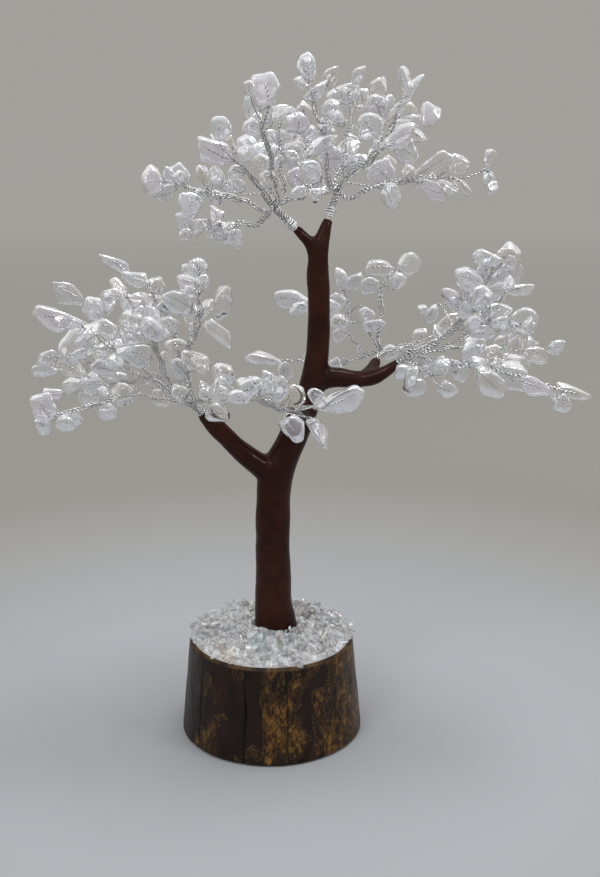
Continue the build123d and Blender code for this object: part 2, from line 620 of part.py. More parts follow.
class Bars:
    """All bars laid so far: their two ends, radius, owner and kind."""

    WIRE_KINDS = ("neck", "branch", "twig")
    PASSED_OVER = {"neck": ("limb", "neck", "branch"), "branch": ("neck",), "twig": (), "chip": ()}

    def __init__(self):
        self.starts = np.zeros((0, 3))
        self.ends = np.zeros((0, 3))
        self.radii = np.zeros(0)
        self.owners = np.zeros(0, dtype=str)
        self.kinds = np.zeros(0, dtype=str)

    def add(self, bars, owner, kind):
        for start, end, radius in bars:
            self.starts = np.vstack([self.starts, start])
            self.ends = np.vstack([self.ends, end])
            self.radii = np.append(self.radii, radius)
            self.owners = np.append(self.owners, owner)
            self.kinds = np.append(self.kinds, kind)

    def room(self, bar, owner, kind):
        """How much clear room a new bar has to the nearest bar, beyond the gap that the pair needs. Branches
        start side by side on the neck, so there the limb and the other branches are passed over."""
        start, end, radius = bar
        distance = bar_distance(start, end, self.starts, self.ends)
        own = self.owners == owner
        needed = np.where(own, CHIP_GAP, SPRAY_GAP)
        if kind in self.WIRE_KINDS:
            needed = np.where(own & np.isin(self.kinds, self.WIRE_KINDS), WIRE_CLEARANCE, needed)
        room = distance - self.radii - radius - needed
        passed_over = np.isin(self.kinds, self.PASSED_OVER[kind]) & (own | (self.kinds == "limb"))
        return np.where(passed_over, np.inf, room).min()

    def branch_room(self, line, owner):
        at_neck = [self.room(bar, owner, "neck") for bar in line[:NECK_STRETCHES]]
        beyond = [self.room(bar, owner, "branch") for bar in line[NECK_STRETCHES:]]
        return min(at_neck + beyond)


def bar_distance(start, end, starts, ends):
    """Distance from one segment to each of many."""
    own, others = end - start, ends - starts
    between = start - starts
    a = np.dot(own, own)
    e = np.einsum("ij,ij->i", others, others)
    b = others @ own
    c = between @ own
    f = np.einsum("ij,ij->i", others, between)
    flat = np.maximum(a * e - b * b, 1e-12)
    s = np.clip((b * f - c * e) / flat, 0, 1)
    t = np.clip((b * s + f) / np.maximum(e, 1e-12), 0, 1)
    s = np.clip((b * t - c) / max(a, 1e-12), 0, 1)
    gap = between + s[:, None] * own - t[:, None] * others
    return np.sqrt(np.einsum("ij,ij->i", gap, gap))


def route_bars(route, radius):
    return [(start, end, radius) for start, end in zip(route, route[1:])]


def own_room(line, chip):
    """How much clear room a wire has to the sides of its own chip before it enters the bore."""
    start, end, radius = chip.bar()
    approach = line[:-1]
    starts = np.array([bar[0] for bar in approach])
    ends = np.array([bar[1] for bar in approach])
    return (bar_distance(start, end, starts, ends) - radius - approach[0][2]).min()


class Chip:
    """One tumbled chip: its axis from base to tip, its half width and half thickness, and its bar."""

    def __init__(self, spray, row, depth, lean, thickness_share):
        base_x, base_y, tip_x, tip_y, width = row
        base = spray.place((base_x, base_y), depth)
        tip = spray.place((tip_x, tip_y), depth)
        scale = np.linalg.norm(tip - base) / math.hypot(tip_x - base_x, tip_y - base_y)
        length = max(np.linalg.norm(tip - base), CHIP_LEAST_LENGTH)
        tip = tip + np.array([0.0, lean * length, 0.0])
        self.base = base
        self.axis = unit(tip - base)
        self.length = length
        self.half_width = max(width * scale / 2, CHIP_LEAST_HALF_WIDTH)
        thickness = self.half_width * thickness_share
        if self.half_width < CHIP_NARROW_SHARE * CHIP_LEAST_HALF_WIDTH:
            thickness = self.half_width / thickness_share
        self.half_thickness = min(max(thickness, CHIP_LEAST_HALF_WIDTH), CHIP_MOST_HALF_THICKNESS)

    def tip(self):
        return self.base + self.length * self.axis

    def bar(self):
        reach = CHIP_CORNER_SHARES[1]
        if self.half_width > self.length / 2:
            across = side_axes(self.axis)[0]
            middle = self.base + self.length / 2 * self.axis
            radius = max(self.length / 2, reach * self.half_thickness)
            half_span = max(reach * self.half_width - radius, 0.0)
            return middle - half_span * across, middle + half_span * across, radius
        radius = reach * max(self.half_width, self.half_thickness)
        inset = min(CHIP_CAPSULE_SHARE * radius, self.length / 2)
        return self.base + inset * self.axis, self.tip() - inset * self.axis, radius

    def solid(self, wire_diameter, draw):
        across, along = side_axes(self.axis)
        corners = []
        for index in range(CHIP_SIDES):
            angle = 2 * math.pi * (index + CHIP_CORNER_SHIFT_SHARE * draw.random()) / CHIP_SIDES
            reach = draw.uniform(*CHIP_CORNER_SHARES)
            corners.append(reach * (self.half_width * math.cos(angle) * across
                                    + self.half_thickness * math.sin(angle) * along))
        rings = []
        for rise_share, width_share in CHIP_LEVEL_SHARES:
            centre = self.base + rise_share * self.length * self.axis
            rings.append([centre + width_share * corner for corner in corners])
        bore_radius = (wire_diameter / 2 + BORE_CLEARANCE) / math.cos(math.pi / WIRE_SIDES)
        bore = [
            regular_ring(self.base, self.axis, bore_radius, WIRE_SIDES),
            regular_ring(self.tip(), self.axis, bore_radius, WIRE_SIDES),
        ]
        return faceted_solid(rings, bore)


def depth_steps():
    """Depth shifts to try in turn: none, one step back, one step forward, and so on outwards."""
    shifts = [0.0]
    for step in range(1, DEPTH_TRIES):
        shifts += [step * DEPTH_STEP, -step * DEPTH_STEP]
    return shifts


def neck_slots(spray):
    """Where the branch wires start on the neck's end face: a ring, round a core wire in a thick neck."""
    ring = regular_ring(spray.neck_end, spray.direction, spray.ring_radius, spray.ring_count)
    return [spray.neck_end] + ring if spray.has_core else ring


def branch_slots(spray):
    """Gives each branch the free slot that lies nearest to its own side of the neck."""
    free = neck_slots(spray)
    leaning = []
    for index, row in enumerate(SPRAY_PIXELS[spray.name]):
        depth_share, pixels = row[:2]
        aim = spray.place(pixels[-1], depth_share * CROWN_DEPTH) - spray.neck_end
        sideways = aim - np.dot(aim, spray.direction) * spray.direction
        leaning.append((np.linalg.norm(sideways), index, unit(sideways)))
    given = {}
    for _, index, side in sorted(leaning, reverse=True, key=lambda entry: entry[0]):
        best = max(range(len(free)), key=lambda slot: np.dot(free[slot] - spray.neck_end, side))
        given[index] = free.pop(best)
    return given


def branch_route(spray, slot, pixels, depth, chip):
    """A branch wire: square out of the neck, past its pixels at a growing depth, then through its tip chip."""
    stops = [slot, slot + WIRE_LEAD * spray.direction]
    for index, pixel in enumerate(pixels):
        share = (index + 1) / (len(pixels) + 1)
        stops.append(spray.place(pixel, share * depth))
    stops.append(chip.base - WIRE_LEAD * chip.axis)
    route = smooth_route(stops[1:], BRANCH_SAMPLES)
    return [slot] + route + [chip.tip() + WIRE_END * chip.axis]


def twig_starts(branch, chip):
    """The stretches of a branch that a twig could leave from, the best first: near, and not bent backward."""
    stretches = []
    travelled = 0.0
    for start, end in zip(branch[:-2], branch[1:-1]):
        travelled += np.linalg.norm(end - start)
        if travelled > TWIG_START:
            away = chip.base - end
            backward = max(0.0, -np.dot(unit(away), unit(end - start)))
            stretches.append((np.linalg.norm(away) * (1 + backward), start, end))
    stretches.sort(key=lambda stretch: stretch[0])
    return [(start, end) for _, start, end in stretches[:TWIG_STARTS_TRIED]]


def twig_route(start, end, chip):
    """A side twig: laid along a stretch of its branch for a lap, then bent away and through its chip."""
    heading = unit(end - start)
    away = chip.base - end
    side = away - np.dot(away, heading) * heading
    side = unit(side)
    offset = ((BRANCH_WIRE_DIAMETER + TWIG_WIRE_DIAMETER) / 2 + LAP_CLEARANCE) * side
    lap = min(TWIG_LAP, TWIG_LAP_SHARE * np.linalg.norm(end - start))
    leave = start + TWIG_LEAVE_SHARE * (end - start)
    begin = leave - lap * heading
    arrive = chip.base - WIRE_LEAD * chip.axis
    bend = bend_route(leave + offset, unit(heading + side), arrive, chip.axis, TWIG_SAMPLES)
    return [begin + offset, leave + offset] + bend + [arrive, chip.tip() + WIRE_END * chip.axis]


def lay_spray(spray, bars, draw):
    """Lays a spray's branches, twigs and chips one by one, moving each in depth until it is clear."""
    slots = branch_slots(spray)
    branches, twigs, chips = [], [], []
    short_of_room = []
    for index, (depth_share, pixels, rows) in enumerate(SPRAY_PIXELS[spray.name]):
        lean = draw.uniform(-CHIP_LEAN_SHARE, CHIP_LEAN_SHARE)
        thick = draw.uniform(*CHIP_THICKNESS_SHARES)
        tries = []
        for shift in depth_steps():
            depth = depth_share * CROWN_DEPTH + shift
            chip = Chip(spray, rows[0], depth, lean, thick)
            route = branch_route(spray, slots[index], pixels, depth, chip)
            line = route_bars(route, BRANCH_WIRE_DIAMETER / 2)
            room = min(bars.branch_room(line, spray.name), own_room(line, chip))
            room = min(room, bars.room(chip.bar(), spray.name, "chip"))
            tries.append((room, chip, route, line))
            if room > 0:
                break
        room, chip, route, line = max(tries, key=lambda entry: entry[0])
        if room <= 0:
            short_of_room.append((rows[0], round(float(room), 2)))
        branches.append(route)
        chips.append((chip, BRANCH_WIRE_DIAMETER))
        bars.add(line[:NECK_STRETCHES], spray.name, "neck")
        bars.add(line[NECK_STRETCHES:], spray.name, "branch")
        bars.add([chip.bar()], spray.name, "chip")
        for row in rows[1:]:
            lean = draw.uniform(-CHIP_LEAN_SHARE, CHIP_LEAN_SHARE)
            thick = draw.uniform(*CHIP_THICKNESS_SHARES)
            jitter = draw.uniform(-DEPTH_JITTER, DEPTH_JITTER)
            nearest = min(route, key=lambda point: math.dist(point[::2], spray.place(row[:2], depth)[::2]))
            local_depth = nearest[1] - spray.limb_end[1] + jitter
            tries = []
            for shift in depth_steps():
                chip = Chip(spray, row, local_depth + shift, lean, thick)
                chip_room = bars.room(chip.bar(), spray.name, "chip")
                for start, end in twig_starts(route, chip):
                    twig = twig_route(start, end, chip)
                    line = route_bars(twig, TWIG_WIRE_DIAMETER / 2)
                    room = min(chip_room, own_room(line, chip))
                    room = min([room] + [bars.room(bar, spray.name, "twig") for bar in line])
                    tries.append((room, chip, twig, line))
                    if room > 0:
                        break
                if room > 0:
                    break
            room, chip, twig, line = max(tries, key=lambda entry: entry[0])
            if room <= 0:
                short_of_room.append((row, round(float(room), 2)))
            twigs.append(twig)
            chips.append((chip, TWIG_WIRE_DIAMETER))
            bars.add(line, spray.name, "twig")
            bars.add([chip.bar()], spray.name, "chip")
    print(f"{spray.name}: {len(branches)} branches, {len(chips)} chips, short of room: {short_of_room}")
    return branches, twigs, chips


def trunk_bars():
    bars = []
    for rows in [TRUNK_SHARES] + list(LIMB_SHARES.values()):
        for row, after in zip(rows, rows[1:]):
            radius = max(row[3], after[3]) * TRUNK_RADIUS
            bars.append((section_centre(row), section_centre(after), radius))
    return bars


def save(name, solids):
    shape = solids[0] if len(solids) == 1 else Compound(solids)
    export_step(shape, f"parts/{name}.step")


def build():
    os.makedirs("parts", exist_ok=True)
    stems = {name: wire_tube(stem_route(name), STEM_DIAMETER / 2) for name in SPRAYS}
    for name, stem in stems.items():
        save(f"{name}_stem", [stem])
    save("wood_base", [wood_base()])
    save("socket_glue", [socket_glue(list(stems.values()))])
    save("glue_bed", [glue_bed()])
    save("crushed_crystal", crushed_crystal())
    save("trunk_coat", [trunk_coat(list(stems.values()))])
    for name in WOUND_SPRAYS:
        save(f"{name}_winding", [winding(SPRAYS[name])])
    bars = Bars()
    bars.add(trunk_bars(), "trunk", "limb")
    draw = random.Random(CHIP_SEED)
    for name, spray in SPRAYS.items():
        save(f"{name}_neck", [neck_bundle(spray)])
        branches, twigs, chips = lay_spray(spray, bars, draw)
        save(f"{name}_branch_wires", [wire_tube(route, BRANCH_WIRE_DIAMETER / 2) for route in branches])
        save(f"{name}_twig_wires", [wire_tube(route, TWIG_WIRE_DIAMETER / 2) for route in twigs])
        save(f"{name}_chips", [chip.solid(wire_diameter, draw) for chip, wire_diameter in chips])


build()
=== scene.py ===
# %% [markdown]
# A gemstone tree: tumbled quartz chips on sprays of twisted silver wire, a hand-moulded brown trunk, and
# a stained log slice topped with crushed crystal. The exact solids come packed from CAD. This lesson
# loads them as a fixed frame and dresses each one, so every piece lies where its solid lies. All lengths
# are in metres.

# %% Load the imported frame
import json
import math
import random

import bmesh
import bpy
import numpy as np
from mathutils import Matrix, Vector, noise

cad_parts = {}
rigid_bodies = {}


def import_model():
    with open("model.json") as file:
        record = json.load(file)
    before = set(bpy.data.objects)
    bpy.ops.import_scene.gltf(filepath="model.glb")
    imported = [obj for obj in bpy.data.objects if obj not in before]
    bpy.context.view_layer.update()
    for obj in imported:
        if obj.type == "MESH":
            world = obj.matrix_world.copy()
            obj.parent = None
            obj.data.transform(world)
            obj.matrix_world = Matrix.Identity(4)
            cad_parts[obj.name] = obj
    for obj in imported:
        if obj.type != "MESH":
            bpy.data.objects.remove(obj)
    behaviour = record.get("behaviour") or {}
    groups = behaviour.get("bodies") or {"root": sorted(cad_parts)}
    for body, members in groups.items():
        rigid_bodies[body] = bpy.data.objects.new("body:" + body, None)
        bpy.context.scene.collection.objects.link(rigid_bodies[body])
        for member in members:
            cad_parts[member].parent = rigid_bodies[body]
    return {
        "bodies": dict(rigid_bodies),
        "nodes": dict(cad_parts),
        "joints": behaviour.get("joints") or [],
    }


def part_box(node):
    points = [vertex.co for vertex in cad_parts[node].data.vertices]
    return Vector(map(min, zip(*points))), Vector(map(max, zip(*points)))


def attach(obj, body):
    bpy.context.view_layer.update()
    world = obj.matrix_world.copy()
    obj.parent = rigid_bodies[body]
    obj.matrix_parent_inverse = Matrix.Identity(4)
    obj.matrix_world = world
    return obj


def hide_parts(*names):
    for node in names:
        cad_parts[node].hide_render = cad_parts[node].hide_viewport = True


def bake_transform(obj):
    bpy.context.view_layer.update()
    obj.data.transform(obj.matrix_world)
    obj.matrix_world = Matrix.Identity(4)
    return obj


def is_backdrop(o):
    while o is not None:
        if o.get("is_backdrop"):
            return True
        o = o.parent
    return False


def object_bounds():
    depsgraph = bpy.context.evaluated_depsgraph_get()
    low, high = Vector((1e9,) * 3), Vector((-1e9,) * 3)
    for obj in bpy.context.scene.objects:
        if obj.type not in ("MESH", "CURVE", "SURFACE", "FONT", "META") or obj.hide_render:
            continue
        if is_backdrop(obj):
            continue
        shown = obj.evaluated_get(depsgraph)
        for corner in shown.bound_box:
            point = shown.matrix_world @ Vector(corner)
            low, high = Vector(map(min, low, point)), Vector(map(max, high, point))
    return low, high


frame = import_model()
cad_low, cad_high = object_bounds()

MM = 0.001
SPRAYS = [name[:-len("_spray")] for name in frame["bodies"] if name.endswith("_spray")]
print("sprays:", ", ".join(SPRAYS))
print("CAD box in mm:", [round(value / MM) for value in cad_low], [round(value / MM) for value in cad_high])

# %% [markdown]
# The camera stands where the photograph was taken: a little above the crown and looking down. Its place
# was fitted to the two rims of the log slice, whose ellipses fix the tilt, and its lens follows from the
# focal length in pixels, because the sensor's long side spans the picture's 877 rows.

# %% Camera
PHOTO_ROWS = 877
FOCAL_PIXELS = 1200
SENSOR_MM = 36.0
CAMERA_PLACE = (11.7 * MM, -456.0 * MM, 241.2 * MM)
CAMERA_DOWN_DEGREES = 14.6

camera_data = bpy.data.cameras.new("photo_camera")
camera_data.sensor_width = SENSOR_MM
camera_data.lens = FOCAL_PIXELS * SENSOR_MM / PHOTO_ROWS
camera = bpy.data.objects.new("photo_camera", camera_data)
camera.location = CAMERA_PLACE
camera.rotation_euler = (math.radians(90 - CAMERA_DOWN_DEGREES), 0.0, 0.0)
bpy.context.scene.collection.objects.link(camera)
bpy.context.scene.camera = camera
print("lens in mm:", round(camera_data.lens, 2))

# %% [markdown]
# Colours are written as sRGB hex, the way a colour picker shows them, and one function turns them into
# the linear numbers that shaders need. A second small function adds a node, sets it and links it, so that
# each material below reads as a short list. Noise sizes are given in millimetres of the real surface.

# %% Colour and node helpers
bpy.context.scene.view_settings.view_transform = "Standard"


def linear(colour):
    """The linear RGBA of an sRGB hex colour."""
    channels = [int(colour[place:place + 2], 16) / 255 for place in (1, 3, 5)]
    return tuple(
        value / 12.92 if value <= 0.04045 else ((value + 0.055) / 1.055) ** 2.4 for value in channels
    ) + (1.0,)


def add_node(tree, kind, settings, inputs):
    """Adds a node, or fills one that is there. An input is a value, a hex colour or a socket."""
    node = tree.nodes.new(kind) if isinstance(kind, str) else kind
    for name, value in settings.items():
        if name == "stops":
            while len(node.color_ramp.elements) < len(value):
                node.color_ramp.elements.new(0.5)
            for element, (position, colour) in zip(node.color_ramp.elements, value):
                element.position = position
                element.color = linear(colour)
        else:
            setattr(node, name, value)
    for name, value in inputs.items():
        if isinstance(value, bpy.types.NodeSocket):
            tree.links.new(value, node.inputs[name])
        else:
            node.inputs[name].default_value = linear(value) if isinstance(value, str) else value
    return node


def new_material(name):
    """A material with its node tree, its surface shader and the coordinates of the piece at rest."""
    material = bpy.data.materials.new(name)
    material.use_nodes = True
    tree = material.node_tree
    place = tree.nodes.new("ShaderNodeTexCoord").outputs["Object"]
    return material, tree, tree.nodes["Principled BSDF"], place


def repeats(size_mm):
    """The noise scale whose features are about this many millimetres wide."""
    return 1.0 / (size_mm * MM)


print("mid grey in linear light:", round(linear("#808080")[0], 3))

# %% [markdown]
# The stage is a floor, a world that is grey at the horizon and white overhead like a room's ceiling, and
# three soft lamps. The floor's colour paints light and shade: pale near the object, a grey ring further
# out painted darker where the lamps still light it, and painted lighter far away, where their light has
# fallen off, so that it reads as a plain grey wall. Clear stone shows only what it bends and mirrors, so
# a ceiling brighter than the walls is what gives the chips their bright edges.

# %% Floor, world and lamps
FLOOR_HALF = 40.0
FLOOR_DROP = 0.1 * MM
FAR_TONE_FROM = 2.5
# Each lamp's place and size in metres, and its power in watts.
LAMPS = {
    "front_lamp": ((-0.45, -0.75, 0.85), 0.40, 2.7),
    "ceiling_lamp": ((0.20, 0.05, 1.05), 0.30, 3.2),
    "side_lamp": ((0.85, -0.45, 0.60), 0.25, 1.5),
}
LAMPS_AIM = Vector((0.01, 0.0, 0.15))

corners = [(x * FLOOR_HALF, y * FLOOR_HALF, -FLOOR_DROP) for x, y in ((-1, -1), (1, -1), (1, 1), (-1, 1))]
floor_mesh = bpy.data.meshes.new("floor")
floor_mesh.from_pydata(corners, [], [(0, 1, 2, 3)])
floor = bpy.data.objects.new("floor", floor_mesh)
bpy.context.scene.collection.objects.link(floor)
material, tree, shader, place = new_material("pale_stone_painted_falloff")
distance = add_node(tree, "ShaderNodeVectorMath", {"operation": "LENGTH"}, {0: place}).outputs["Value"]
light_falloff_fade = add_node(tree, "ShaderNodeMapRange", {}, {"Value": distance, "From Max": FAR_TONE_FROM})
# Painted light and shade: this ramp darkens the floor where the lamps reach and lightens it far out where
# their light falls off.
painted_light_tone = add_node(tree, "ShaderNodeValToRGB",
                {"stops": [(0.05, "#a6a9ad"), (0.14, "#94918b"), (0.4, "#a3a09b"), (1.0, "#b7b4af")]},
                {"Fac": light_falloff_fade.outputs["Result"]})
add_node(tree, shader, {}, {"Base Color": painted_light_tone.outputs["Color"], "Roughness": 0.6, "Specular IOR Level": 0.2})
floor_mesh.materials.append(material)
floor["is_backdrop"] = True

world = bpy.data.worlds.new("room")
world.use_nodes = True
bpy.context.scene.world = world
tree = world.node_tree
way = tree.nodes.new("ShaderNodeTexCoord").outputs["Generated"]
upward = add_node(tree, "ShaderNodeSeparateXYZ", {}, {0: way}).outputs["Z"]
room = add_node(tree, "ShaderNodeValToRGB",
                {"stops": [(0.0, "#aba8a4"), (0.14, "#aba8a4"), (0.55, "#e2e2e2"), (1.0, "#ffffff")]},
                {"Fac": upward})
add_node(tree, tree.nodes["Background"], {}, {"Color": room.outputs["Color"], "Strength": 0.9})

for name, (spot, size, power) in LAMPS.items():
    lamp_data = bpy.data.lights.new(name, "AREA")
    lamp_data.size = size
    lamp_data.energy = power
    lamp = bpy.data.objects.new(name, lamp_data)
    lamp.location = spot
    lamp.rotation_euler = (LAMPS_AIM - Vector(spot)).to_track_quat("-Z", "Y").to_euler()
    bpy.context.scene.collection.objects.link(lamp)
print("stage: floor, world and", len(LAMPS), "lamps")

# %% [markdown]
# The wire is soft aluminium craft wire, drawn through a die and plated silver. Drawing leaves a fine
# smooth skin, so it mirrors the room softly; handling dulls it in patches. Two strands are twisted
# together, and the groove between them is painted nearly black: painted shade, standing for the shadow
# that falls between the strands. The mesh marks the groove.

# %% Drawn silver wire
material, tree, shader, place = new_material("drawn_silver_wire")
handling = add_node(tree, "ShaderNodeTexNoise", {}, {"Vector": place, "Scale": repeats(5), "Detail": 3.0})
plating = add_node(tree, "ShaderNodeValToRGB",
                   {"stops": [(0.35, "#e2e4e7"), (0.65, "#fdfdfd")]}, {"Fac": handling.outputs["Fac"]})
groove_shade_marks = add_node(tree, "ShaderNodeAttribute", {"attribute_name": "groove"}, {})
# Painted shade: the groove between the strands is darkened nearly to black.
groove_shaded = add_node(tree, "ShaderNodeMix", {"data_type": "RGBA"},
                     {"Factor": groove_shade_marks.outputs["Fac"], 6: plating.outputs["Color"], 7: "#1a1b1e"})
dull = add_node(tree, "ShaderNodeMapRange", {},
                {"Value": handling.outputs["Fac"], "To Min": 0.17, "To Max": 0.06})
add_node(tree, shader, {}, {"Base Color": groove_shaded.outputs[2], "Roughness": dull.outputs["Result"],
                            "Metallic": 1.0})
silver_wire = material
print(material.name, "nodes:", len(tree.nodes))

# %% [markdown]
# The chips are rock crystal, tumbled in a drum with grit until their corners are soft and their skin is
# glossy. Quartz bends light a little more than window glass (IOR 1.54). Tiny fluid veils inside make
# parts of a chip milky, so the shader lets less light through where a soft cloud pattern is dense, and
# each chip, being its own mesh island, gets its own share of cloud.

# %% Tumbled quartz
QUARTZ_IOR = 1.54
DIMPLE_DEPTH = 0.25 * MM

material, tree, shader, place = new_material("tumbled_rock_crystal")
island = tree.nodes.new("ShaderNodeNewGeometry").outputs["Random Per Island"]
cloud = add_node(tree, "ShaderNodeTexNoise", {}, {"Vector": place, "Scale": repeats(4.5), "Detail": 4.0,
                                                  "Roughness": 0.6, "Distortion": 0.8})
share = add_node(tree, "ShaderNodeMath", {"operation": "MULTIPLY_ADD"},
                 {0: island, 1: 0.34, 2: cloud.outputs["Fac"]}).outputs["Value"]
clear = add_node(tree, "ShaderNodeMapRange", {"interpolation_type": "SMOOTHSTEP"},
                 {"Value": share, "From Min": 0.4, "From Max": 0.98, "To Min": 0.98, "To Max": 0.76})
tint = add_node(tree, "ShaderNodeValToRGB",
                {"stops": [(0.0, "#fdfaf7"), (0.12, "#fefeff"), (0.6, "#f6f9fe"), (1.0, "#f7f5fd")]},
                {"Fac": island})
skin = add_node(tree, "ShaderNodeTexNoise", {}, {"Vector": place, "Scale": repeats(2.2), "Detail": 2.0})
gloss = add_node(tree, "ShaderNodeMapRange", {},
                 {"Value": skin.outputs["Fac"], "To Min": 0.0, "To Max": 0.1})
dimples = add_node(tree, "ShaderNodeBump", {}, {"Strength": 0.3, "Distance": DIMPLE_DEPTH,
                                                "Height": skin.outputs["Fac"]})
add_node(tree, shader, {}, {
    "Base Color": tint.outputs["Color"], "Roughness": gloss.outputs["Result"],
    "Transmission Weight": clear.outputs["Result"], "Normal": dimples.outputs["Normal"], "IOR": QUARTZ_IOR,
})
tumbled_quartz = material
print(material.name, "nodes:", len(tree.nodes))

# %% [markdown]
# The crumbs on the base are the same crystal, crushed and sieved. Their broken faces scatter more light,
# so a heap of them looks white. A few crumbs are pale blue or peach, from other stones in the sieve; the
# mesh carries the tint of each crumb.

# %% Crushed crystal
material, tree, shader, place = new_material("crushed_rock_crystal")
island = tree.nodes.new("ShaderNodeNewGeometry").outputs["Random Per Island"]
grain = add_node(tree, "ShaderNodeTexNoise", {}, {"Vector": place, "Scale": repeats(1.6), "Detail": 2.0})
share = add_node(tree, "ShaderNodeMath", {"operation": "MULTIPLY_ADD"},
                 {0: island, 1: 0.4, 2: grain.outputs["Fac"]}).outputs["Value"]
clear = add_node(tree, "ShaderNodeMapRange", {}, {"Value": share, "From Min": 0.4, "From Max": 1.0,
                                                  "To Min": 0.92, "To Max": 0.5})
tint_marks = add_node(tree, "ShaderNodeAttribute", {"attribute_name": "stone_tint"}, {})
gloss = add_node(tree, "ShaderNodeMapRange", {},
                 {"Value": grain.outputs["Fac"], "To Min": 0.0, "To Max": 0.1})
add_node(tree, shader, {}, {
    "Base Color": tint_marks.outputs["Color"], "Roughness": gloss.outputs["Result"],
    "Transmission Weight": clear.outputs["Result"], "IOR": QUARTZ_IOR,
})
crushed_quartz = material
print(material.name, "nodes:", len(tree.nodes))

# %% [markdown]
# The trunk is two-part resin clay, pressed round the wires by hand, painted chocolate brown and dipped in
# clear lacquer. Finger marks leave soft lumps, which the mesh carries. The lacquer is the clear coat of
# the shader, and it levels out, so the gloss is sharper than the paint below.

# %% Lacquered resin clay
DENT_DEPTH = 0.3 * MM

material, tree, shader, place = new_material("lacquered_resin_clay")
brushing = add_node(tree, "ShaderNodeTexNoise", {}, {"Vector": place, "Scale": repeats(11), "Detail": 5.0,
                                                     "Roughness": 0.6})
paint = add_node(tree, "ShaderNodeValToRGB",
                 {"stops": [(0.3, "#220f0b"), (0.5, "#30150f"), (0.72, "#3d1c15")]},
                 {"Fac": brushing.outputs["Fac"]})
dust = add_node(tree, "ShaderNodeTexVoronoi", {}, {"Vector": place, "Scale": repeats(4.5)})
speck = add_node(tree, "ShaderNodeMapRange", {}, {"Value": dust.outputs["Distance"], "From Min": 0.06,
                                                  "From Max": 0.03, "To Min": 0.0, "To Max": 0.5})
dusted = add_node(tree, "ShaderNodeMix", {"data_type": "RGBA"},
                  {"Factor": speck.outputs["Result"], 6: paint.outputs["Color"], 7: "#6e5a50"})
press = add_node(tree, "ShaderNodeTexNoise", {}, {"Vector": place, "Scale": repeats(3.5), "Detail": 3.0})
dents = add_node(tree, "ShaderNodeBump", {}, {"Strength": 0.35, "Distance": DENT_DEPTH,
                                              "Height": press.outputs["Fac"]})
matt = add_node(tree, "ShaderNodeMapRange", {},
                {"Value": press.outputs["Fac"], "To Min": 0.3, "To Max": 0.55})
add_node(tree, shader, {}, {
    "Base Color": dusted.outputs[2], "Roughness": matt.outputs["Result"], "Normal": dents.outputs["Normal"],
    "Coat Normal": dents.outputs["Normal"], "IOR": 1.5, "Specular IOR Level": 0.03, "Coat Weight": 0.24,
    "Coat Roughness": 0.05,
})
resin_clay = material
print(material.name, "nodes:", len(tree.nodes))

# %% [markdown]
# The base is a slice of log with its bark off, stained almost black-brown and varnished. Where the stain
# did not take, the golden under-bark shows in blotches, each with a thin pale outline, taller than wide
# because the grain runs upright. The mesh marks its drying cracks, and the shader paints shade into them.

# %% Stained log wood
GRAIN_STRETCH = 0.5
GOLD_SIDE_FROM = -20.0 * MM
GOLD_SIDE_TO = 12.0 * MM
FIBRE_DEPTH = 0.4 * MM

material, tree, shader, place = new_material("stained_varnished_log")
upright = add_node(tree, "ShaderNodeMapping", {}, {"Vector": place, "Scale": (1.0, 1.0, GRAIN_STRETCH)})
stain = add_node(tree, "ShaderNodeTexNoise", {}, {"Vector": upright.outputs["Vector"], "Scale": repeats(9),
                                                  "Detail": 6.0, "Roughness": 0.65})
dark = add_node(tree, "ShaderNodeValToRGB",
                {"stops": [(0.3, "#120a07"), (0.55, "#25160f"), (0.8, "#3d2920")]},
                {"Fac": stain.outputs["Fac"]})
blotch = add_node(tree, "ShaderNodeTexNoise", {}, {"Vector": upright.outputs["Vector"], "Scale": repeats(10),
                                                   "Detail": 5.0, "Roughness": 0.6, "Distortion": 0.7})
side = add_node(tree, "ShaderNodeSeparateXYZ", {}, {0: place})
lean = add_node(tree, "ShaderNodeMapRange", {"interpolation_type": "SMOOTHSTEP"},
                {"Value": side.outputs["X"], "From Min": GOLD_SIDE_FROM, "From Max": GOLD_SIDE_TO,
                 "To Min": -0.04, "To Max": 0.05})
bare = add_node(tree, "ShaderNodeMath", {"operation": "ADD"},
                {0: blotch.outputs["Fac"], 1: lean.outputs["Result"]}).outputs["Value"]
under = add_node(tree, "ShaderNodeTexNoise", {}, {"Vector": upright.outputs["Vector"], "Scale": repeats(1.5),
                                                  "Detail": 5.0, "Roughness": 0.65, "Distortion": 0.6})
gold = add_node(tree, "ShaderNodeValToRGB",
                {"stops": [(0.36, "#1c1109"), (0.5, "#4c3317"), (0.68, "#8a6733")]},
                {"Fac": under.outputs["Fac"]})
patch = add_node(tree, "ShaderNodeMapRange", {"interpolation_type": "SMOOTHSTEP"},
                 {"Value": bare, "From Min": 0.53, "From Max": 0.63})
figured = add_node(tree, "ShaderNodeMix", {"data_type": "RGBA"},
                   {"Factor": patch.outputs["Result"], 6: dark.outputs["Color"], 7: gold.outputs["Color"]})
outline = add_node(tree, "ShaderNodeValToRGB",
                   {"stops": [(0.518, "#000000"), (0.526, "#8c8c8c"), (0.534, "#000000")]}, {"Fac": bare})
outlined = add_node(tree, "ShaderNodeMix", {"data_type": "RGBA"},
                    {"Factor": outline.outputs["Color"], 6: figured.outputs[2], 7: "#a98b58"})
